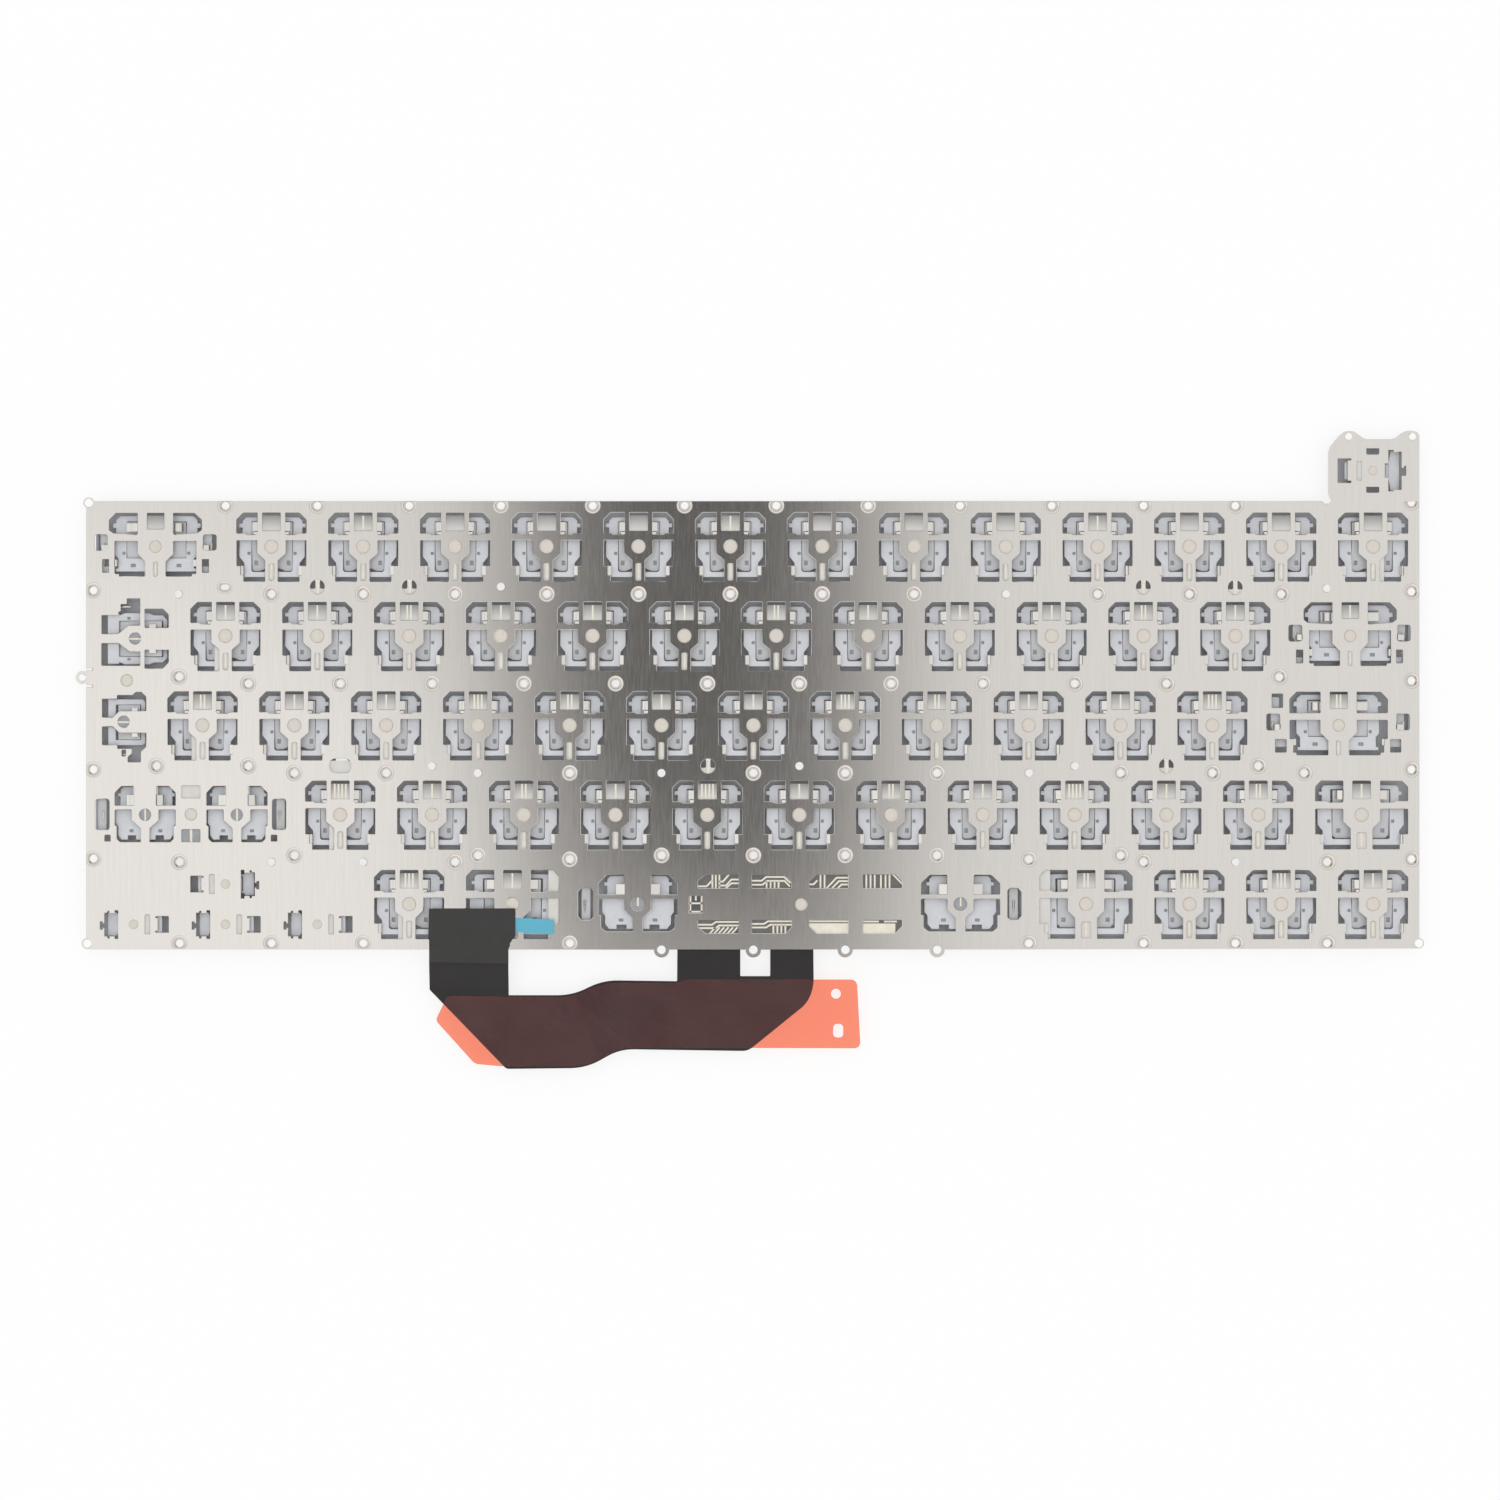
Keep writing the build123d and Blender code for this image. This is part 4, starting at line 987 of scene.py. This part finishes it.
returnOuter = [(0, -30.8), (19, -30.8), (23.7, -26.5), (23.7, -17.6), (25.7, -13), (25.7, 11.3), (23.4, 16.4),
    (25.2, 17), (25.2, 27.8), (4.6, 27.8), (4.6, 16.8), (18, 16.8), (18, -26.6), (0, -26.6)]
returnInner = [(0, -26.1), (17.6, -26.1), (17.6, 16.4), (0, 16.4)]
footOuter = [(0, -20.4), (20.6, -20.4), (23, -18), (23, 8.4), (23.2, 8.6), (23.2, 16.1), (4.6, 16.1),
    (4.6, 8.8), (17.6, 8.8), (17.6, -16), (0, -16)]
footInner = [(0, -15.6), (17.2, -15.6), (17.2, 6.4), (0, 6.4)]
slimOuter = [(0, -27.2), (10.8, -27.2), (11.7, -26.2), (11.7, -18.9), (9.4, -17), (9.4, 21.6), (8.2, 27.7),
    (0, 27.7)]
escOuter = [(0, -27.6), (19, -27.6), (19.9, -26.6), (19.9, -18.9), (9.4, -17), (9.4, 21.6), (8.2, 27.7),
    (0, 27.7)]
slimInner = [(0, -15.8), (6.4, -15.8), (6.4, 19.6), (0, 19.6)]


# A frame is its outline at an even thickness with small square pockets, tilted so that its two ends
# lie at different heights
def framePlate(half, stretch, holes, pockets, edge):
    outline = inMetres(bothHalves(half) * (stretch, 1))
    wells = [inMetres(boxLoop(*pocket, 0.4)) for box in pockets for pocket in mirroredBoxes(*box)]
    holes = [inMetres(boxLoop(*hole)) for hole in holes]
    return punchedSheet(outline, holes, -frameThick / 2, frameThick / 2, edge, wells,
                        frameThick / 2 - pocketDeep)


def mirroredBoxes(left, right, top, bottom):
    return [(left, right, top, bottom), (-right, -left, top, bottom)]


# Each kind: outer outline, stretch, outer pockets, inner outline, inner opening, inner pockets
frameParts = {
    "narrow": (narrowOuter, 1, [(21.6, 24.6, 5, 8)], narrowInner, (-9.5, 9.5, -20.4, 7.6),
               [(14.4, 18, 13.6, 18.2)]),
    "bar": (barOuter, 1, [(31, 34, 4.8, 7.8), (20.4, 25.4, 17, 20.4)], barInner, (-9.5, 9.5, -20.4, 6), []),
    "wide": (wideOuter, 1, [(30.4, 33.6, 5, 8)], wideInner, (-9.5, 9.5, -20.4, 7.6), [(20, 24.1, 13.8, 18)]),
    "space": (spaceOuter, 1, [(14.6, 19.4, 14.6, 17.6)], spaceInner, (-8, 8, -19, 0.4), []),
    "shift": (spaceOuter, 0.84, [(12.4, 16.4, 14.6, 17.6)], spaceInner, (-6.6, 6.6, -19, 0.4), []),
    "return": (returnOuter, 1, [(19.2, 21.8, 5.4, 8.6)], returnInner, (-4.4, 4.4, -20, 8), []),
    "returnFoot": (footOuter, 1, [], footInner, (-4.4, 4.4, -12, 3), []),
}
tilt = 0.9 * (filmLow - capHigh - frameThick) / (60 * dot)
slimBack, slimOpening = (-7.2, 7.2, -16.6, 20.4), (-4.9, 4.9, -13, 16)
outerShapes = {kind: framePlate(outline, 1, [slimBack], [], frameEdge / 2)
               for kind, outline in (("esc", escOuter), ("slim", slimOuter))}
innerShapes = dict.fromkeys(outerShapes, framePlate(slimInner, 1, [slimOpening], [], frameEdge / 2))
for kind, (outer, stretch, outerPockets, inner, opening, innerPockets) in frameParts.items():
    outerShapes[kind] = framePlate(outer, stretch, [], outerPockets, frameEdge)
    innerShapes[kind] = framePlate(inner, stretch, [opening], innerPockets, frameEdge / 2)
for shapes in (outerShapes, innerShapes):
    shapes["caps"] = shapes["bar"]

# Rubber dome: radius r(z) = base - (base - tip) s^2 with s from the foot to the tip
domeSizes = {"round": (1.9 * mm, 1.0 * mm), "slim": (0.78 * mm, 0.45 * mm), "rings": 7, "tipGap": 0.06 * mm}


def dome(base, tip):
    rings = [atHeight(circleLoop(0, 0, base - (base - tip) * s ** 2) * (1, -1),
                      filmLow - s * (filmLow - capHigh - domeSizes["tipGap"]))
             for s in np.linspace(0, 1, domeSizes["rings"])]
    return withEnds(ringStrips(rings), len(rings[0]))


roundDome, slimDome = dome(*domeSizes["round"]), dome(*domeSizes["slim"])
domePlaces = {name: (x, y) for name, kind, x, y, turn in mechanisms if kind in (*fullSize, "slim")}
for name in ("shift_right", "space"):
    domePlaces[name] = keys[name][:2]
domePlaces["return"] = (returnMiddle, (rowY(1) + rowY(2)) / 2)
frameNodes = {"outer": ("frameNylon", "frame_plastic", ["scissor_outer_frames"]),
              "inner": ("innerNylon", "frame_plastic", ["scissor_inner_frames"]),
              "dome": ("domeSilicone", "silicone", ["rubber_domes"])}


def framePiece(name, word, shape):
    # the frames' pocket floors take the painted shade finish
    second = ("paintedShadeMid", singleFaces(shape)) if word != "dome" else None
    return newPiece(name, shape, *frameNodes[word], second=second)


fixedShapes = {"outer": [], "inner": [], "dome": []}
for name in keys:
    if name == "return_foot":
        continue
    under = {"outer": [], "inner": [], "dome": []}
    for owner, kind, x, y, turn in mechanisms:
        if owner == name:
            kind = "esc" if name == "esc" else kind
            quarter = turn if name not in slimKeys else (1 if turn else 3)
            for word, shapes, slope in (("outer", outerShapes, tilt), ("inner", innerShapes, -tilt)):
                under[word].append(moved(moved(tilted(shapes[kind], slope), z=frameZ), x, y, turn=quarter))
    under["dome"].append(moved(slimDome if name in slimKeys else roundDome, *domePlaces[name]))
    for word, shapes in under.items():
        if name in jointOf:
            piece = framePiece(word + "_" + name, word, joined(shapes))
            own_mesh(piece)
        else:
            fixedShapes[word] += shapes
for name, word in (("outerFixed", "outer"), ("innerFixed", "inner"), ("domesFixed", "dome")):
    framePiece(name, word, joined(fixedShapes[word]))

# Bar clips seen through the plate's side windows
clipBoxes = [(99.4, 108.6, 533.6, 547.2), (201.8, 211, 533.6, 547.2), (101, 109.4, 566, 574),
    (201, 209.2, 566, 574), (1293.6, 1303.4, 624, 638.6), (1396.4, 1406.2, 624, 638.6),
    (1295.6, 1303.8, 657, 664.4), (1395.8, 1403.8, 657, 664.4), (1271.6, 1281.4, 712.8, 727.6),
    (1395.4, 1405.2, 712.8, 727.6), (1275, 1287.4, 738.6, 747), (1389.6, 1402, 738.6, 747),
    (1271.4, 1280.2, 697, 708.6), (1009.4, 1018.4, 887.4, 920.8), (581.2, 590.2, 887.4, 920.8),
    (96.6, 105.4, 798.4, 831), (275.4, 284.2, 798.4, 831)]
clipSizes = {"low": 0.75 * mm, "high": 0.35 * mm, "corner": (1.4, 3)}
clipShapes = [slab(fromPicture(boxLoop(*box, *clipSizes["corner"])), filmLow - clipSizes["low"],
                   filmLow - clipSizes["high"], frameEdge) for box in clipBoxes]
newPiece("barClips", joined(clipShapes), "innerNylon", "frame_plastic")
print("scissor frames and domes made")

# Keycaps

capSizes = {"radius": 1.3 * mm, "steps": 5, "taper": 0.15 * mm, "edge": 0.12 * mm, "rim": 0.55 * mm,
            "floor": 0.5 * mm, "ease": 0.12 * mm, "lip": 0.05 * mm, "lipInset": (0.02 * mm, 0.07 * mm)}


# A keycap's section carried round its outline: finger face, tapered side, rim and hollow underside
def keycap(loop):
    loop = runLeft(loop)
    taper, edge, (side, top) = capSizes["taper"], capSizes["edge"], capSizes["lipInset"]
    profile = [(taper + edge, 0), (taper, edge), (side, capHigh - capSizes["lip"]), (top, capHigh),
               (capSizes["rim"], capHigh), (capSizes["rim"] + capSizes["ease"], capSizes["floor"])]
    points, blocks = rim(loop, profile)
    around = blocks[0].reshape(len(profile) - 1, len(loop), 4)
    return withEnds((points, [around[:3].reshape(-1, 4), around[3:].reshape(-1, 4)]), len(loop))


def capLoop(name):
    x, y, width, depth = keys[name]
    left, right, near, far = x - width / 2, x + width / 2, y - depth / 2, y + depth / 2
    corners = [(left, near), (right, near), (right, far), (left, far)]
    if name == "return":
        low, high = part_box("return")
        footRight = low.x + 0.75 * keyUnit - capGap
        corners = [(low.x, high.y), (high.x, high.y), (high.x, near), (footRight, near), (footRight, low.y),
                   (low.x, low.y)]
    return roundedLoop(corners, capSizes["radius"], capSizes["steps"])


fixedCaps = []
for name in keys:
    if name in jointOf:
        newPiece("cap_" + name, keycap(capLoop(name)), "keycapBlack", "keycap_black", [name], name + "_cap",
                 second=("keycapInside", (1, 3)))
    elif name != "return_foot":
        fixedCaps.append(keycap(capLoop(name)))
insideBlocks = tuple(4 * k + j for k in range(len(fixedCaps)) for j in (1, 3))
newPiece("capsFixed", joined(fixedCaps), "keycapBlack", "keycap_black", ["other_keycaps"],
         second=("keycapInside", insideBlocks))
print("keycaps made")

# Stabiliser bars

barSizes = {"radius": 0.3 * mm, "inset": 1.9 * mm, "run": 7.1 * mm, "end": 0.8 * mm, "bend": 1.2 * mm,
            "gap": 0.05 * mm}


# The wire's route: two legs and a long run, its corners rounded as the keycap outlines are
def barRoute(reach):
    low = capHigh + barSizes["radius"] + barSizes["gap"]
    high = filmLow - barSizes["radius"] - barSizes["gap"]
    run, end, bend = barSizes["run"], barSizes["end"], barSizes["bend"]
    flat = easedLoop([(-reach, end, 0), (-reach, -run, bend), (reach, -run, bend), (reach, end, 0)], 6)[5:-5]
    climb = (flat[:, 1] + run) / (run + end)
    return np.concatenate([flat, (low + (high - low) * climb)[:, None]], 1)


for name in ("delete", "tab", "caps_lock", "shift_right", "space", "return"):
    length, place, turn = keys[name][2], keys[name][:2], 0
    if name == "return":
        low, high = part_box("return")
        length, place, turn = high.y - low.y, (returnMiddle, (low.y + high.y) / 2), 3
    bar = moved(wire(barRoute(length / 2 - barSizes["inset"]), barSizes["radius"]), *place, turn=turn)
    piece = newPiece("bar_" + name, bar, "springWire", "spring_wire", ["stabiliser_bars"])
    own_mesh(piece)
print("stabiliser bars made")

# Cable, cover, liner and tape: corners are (x, y, radius)

sheetEdge = 0.03 * mm
ribbonLow = heights("ribbon_cable")[0]
ribbonHigh = ribbonLow + 0.15 * mm
ribbonCorners = [(429.2, 990, 2), (506, 1069.3, 3), (586, 1068.4, 16), (620, 1049.5, 14), (748, 1051.4, 6),
    (807.5, 1003.3, 9), (813.8, 987, 9), (813.4, 943, 0.3), (770.2, 943, 0.3), (770.2, 976.4, 1),
    (740.3, 976.4, 1), (740.3, 943, 0.3), (677.3, 943, 0.3), (677, 981.5, 0.8), (603, 980.5, 15),
    (572, 995.5, 15), (508.4, 995.5, 0.5), (508.4, 990, 0.3)]
ribbonShape = slab(fromPicture(easedLoop(ribbonCorners, 8)), ribbonLow, ribbonHigh, sheetEdge)

# The left tail climbs onto the back: z = low + rise (3s^2 - 2s^3) along its length
tailBack = heights("marker_tape")[0]
plateFoot = fromPicture([(0, 949.65)])[0][1]
tailSizes = {"sides": (429.2, 508.4), "start": -8.4 * mm, "landing": -2.6 * mm, "end": 8.1 * mm,
             "thick": 0.14 * mm}
lengthwise = np.concatenate([np.linspace(tailSizes["start"], tailSizes["landing"], 14), [tailSizes["end"]]])
climb = np.clip((lengthwise - tailSizes["start"]) / (tailSizes["landing"] - tailSizes["start"]), 0, 1)
tailTop = ribbonHigh + (tailBack + tailSizes["thick"] - ribbonHigh) * (3 * climb ** 2 - 2 * climb ** 3)
tailSide = np.concatenate([np.stack([lengthwise, tailTop], 1),
                           np.stack([lengthwise, tailTop - tailSizes["thick"]], 1)[::-1]])
tailRings = [np.stack([np.full(len(tailSide), x), tailSide[:, 0] + plateFoot, tailSide[:, 1]], 1)
             for x, y in fromPicture([(side, 0) for side in tailSizes["sides"]])]
tailPoints, tailBlocks = withEnds(ringStrips(tailRings), len(tailSide))
tailShape = (tailPoints, [block[:, ::-1] for block in tailBlocks])
newPiece("ribbonCable", joined([ribbonShape, tailShape]), "ribbonBlack", "cable_black", ["ribbon_cable"])

coverCorners = [(429.1, 908.4, 1), (515.4, 908.4, 1), (515.4, 936.8, 0.8), (512.6, 939.2, 0.8),
    (509.8, 943.6, 0.8), (509.8, 946.6, 0.6), (508.6, 948, 0.6), (508.6, 963.6, 0.3), (429.4, 962.2, 0.3),
    (429.4, 948, 0.6), (431, 946.4, 0.6), (430.6, 943.4, 0.8), (428.4, 938.6, 0.8)]
coverShape = slab(fromPicture(easedLoop(coverCorners, 4)), *heights("cable_tail_cover"), sheetEdge)
newPiece("tailCover", coverShape, "coverBlack", "cover_black", ["cable_tail_cover"])

linerCorners = [(447, 996.6, 1), (435.2, 1020.6, 4), (474.6, 1064.2, 4), (501, 1066.6, 2), (585, 1066.4, 15),
    (619.4, 1047.9, 13), (860.6, 1048.6, 7), (857, 979.8, 7), (686, 979.8, 3), (677, 983.4, 3),
    (603.4, 983.2, 15), (573, 997.6, 14)]
linerHoles = [fromPicture(windowLoop(hole))
              for hole in ((836, 994, 5), (833.2, 843.4, 1024.1, 1037.9, 4.6, 5))]
linerShape = punchedSheet(fromPicture(easedLoop(linerCorners, 8)), linerHoles, *heights("release_liner"),
                          0.06 * mm)
newPiece("releaseLiner", linerShape, "linerOrange", "liner_orange", ["release_liner"],
         second=("linerEdge", {2, 3, 4}))

tapeCorners = [(514.6, 917.8), (553.6, 919.6), (554.3, 921.4), (553.5, 922.8), (554.5, 924.6), (553.7, 926.2),
    (554.4, 928), (553.4, 929.8), (554.2, 931.6), (553.6, 934.3), (514.6, 932)]
tapeShape = slab(fromPicture(roundedLoop(tapeCorners, 0.2)), *heights("marker_tape"), 0.01 * mm)
newPiece("markerTape", tapeShape, "tapeBlue", "tape_blue", ["marker_tape"])
print("cable, liner and tape made")

# Floor, light and camera

floorMesh = bpy.data.meshes.new("floor")
floorMesh.from_pydata([(-3, -3, 0), (3, -3, 0), (3, 3, 0), (-3, 3, 0)], [], [(0, 1, 2, 3)])
floor = bpy.data.objects.new("floor", floorMesh)
scene.collection.objects.link(floor)
floorFinish, tree, shader = newFinish("whiteFloor", (0.96, 0.96, 0.96), 0.8)
paths = addNode(tree, "LightPath")
seen = addNode(tree, "Math", operation="MAXIMUM")
seenAlso = addNode(tree, "Math", operation="MAXIMUM")
share = addNode(tree, "Math", operation="MULTIPLY")
share.inputs[1].default_value = 0.8
glow = addNode(tree, "Emission", Color=(1, 1, 1, 1), Strength=1.0)
mix = addNode(tree, "MixShader")
connect(tree, (paths, "Is Camera Ray", seen, 0), (paths, "Is Glossy Ray", seen, 1), (seen, 0, seenAlso, 0),
        (paths, "Is Transmission Ray", seenAlso, 1), (seenAlso, 0, share, 0), (share, 0, mix, "Fac"),
        (shader, "BSDF", mix, 1), (glow, "Emission", mix, 2), (mix, "Shader", outputOf(tree), "Surface"))
floorMesh.materials.append(floorFinish)

# A pale studio all round, with one soft dark gap overhead that the steel mirrors as a band
studio = {
    "level": 1.0,
    "gapX": -0.023,
    "core": 0.040,
    "fade": 0.108,
    "dark": 0.10,
    "footDark": 0.33,
    "footStart": -0.045,
    "footEnd": -0.09,
    "gapEnd": 0.22,
    "lampLevel": 0.15,
}
world = bpy.data.worlds.new("studio")
scene.world = world
world.use_nodes = True
tree = world.node_tree
background = tree.nodes["Background"]
place = addNode(tree, "TexCoord")
split = addNode(tree, "SeparateXYZ")
offset = addNode(tree, "Math", operation="SUBTRACT")
offset.inputs[1].default_value = studio["gapX"]
away = addNode(tree, "Math", operation="ABSOLUTE")
fade = mapRange(tree, interpolation_type="SMOOTHSTEP",
                **{"From Min": studio["core"], "From Max": studio["fade"], "To Max": 1.0})
foot = mapRange(tree, **{"From Min": studio["footStart"], "From Max": studio["footEnd"],
                         "To Min": studio["dark"], "To Max": studio["footDark"]})
lengthAway = addNode(tree, "Math", operation="ABSOLUTE")
ends = mapRange(tree, interpolation_type="SMOOTHSTEP",
                **{"From Min": studio["gapEnd"], "From Max": studio["gapEnd"] * 1.8})
brighter = addNode(tree, "Math", operation="MAXIMUM")
connect(tree, (place, "Generated", split, "Vector"), (split, "Y", foot, "Value"),
        (foot, "Result", fade, "To Min"), (split, "Y", lengthAway, 0), (lengthAway, 0, ends, "Value"),
        (fade, "Result", brighter, 0), (ends, "Result", brighter, 1), (split, "X", offset, 0),
        (offset, 0, away, 0), (away, 0, fade, "Value"), (brighter, 0, background, "Color"))
background.inputs["Strength"].default_value = studio["level"]

lampData = bpy.data.lights.new("softLamp", "SUN")
lampData.energy = studio["lampLevel"]
lampData.angle = 1.2
lamp = bpy.data.objects.new("softLamp", lampData)
lamp.rotation_euler = (0.5, -0.45, 0)
scene.collection.objects.link(lamp)

cameraSizes = {"distance": 0.5, "width": 0.31029, "sensor": 36}
cameraData = bpy.data.cameras.new("camera")
cameraData.sensor_width = cameraSizes["sensor"]
cameraData.lens = cameraSizes["sensor"] * cameraSizes["distance"] / cameraSizes["width"]
cameraData.clip_start = 0.01
camera = bpy.data.objects.new("camera", cameraData)
camera.location = (0, 0, plateHigh + cameraSizes["distance"])
scene.collection.objects.link(camera)
scene.camera = camera
scene.view_settings.view_transform = "Standard"
print("floor, light and camera set")
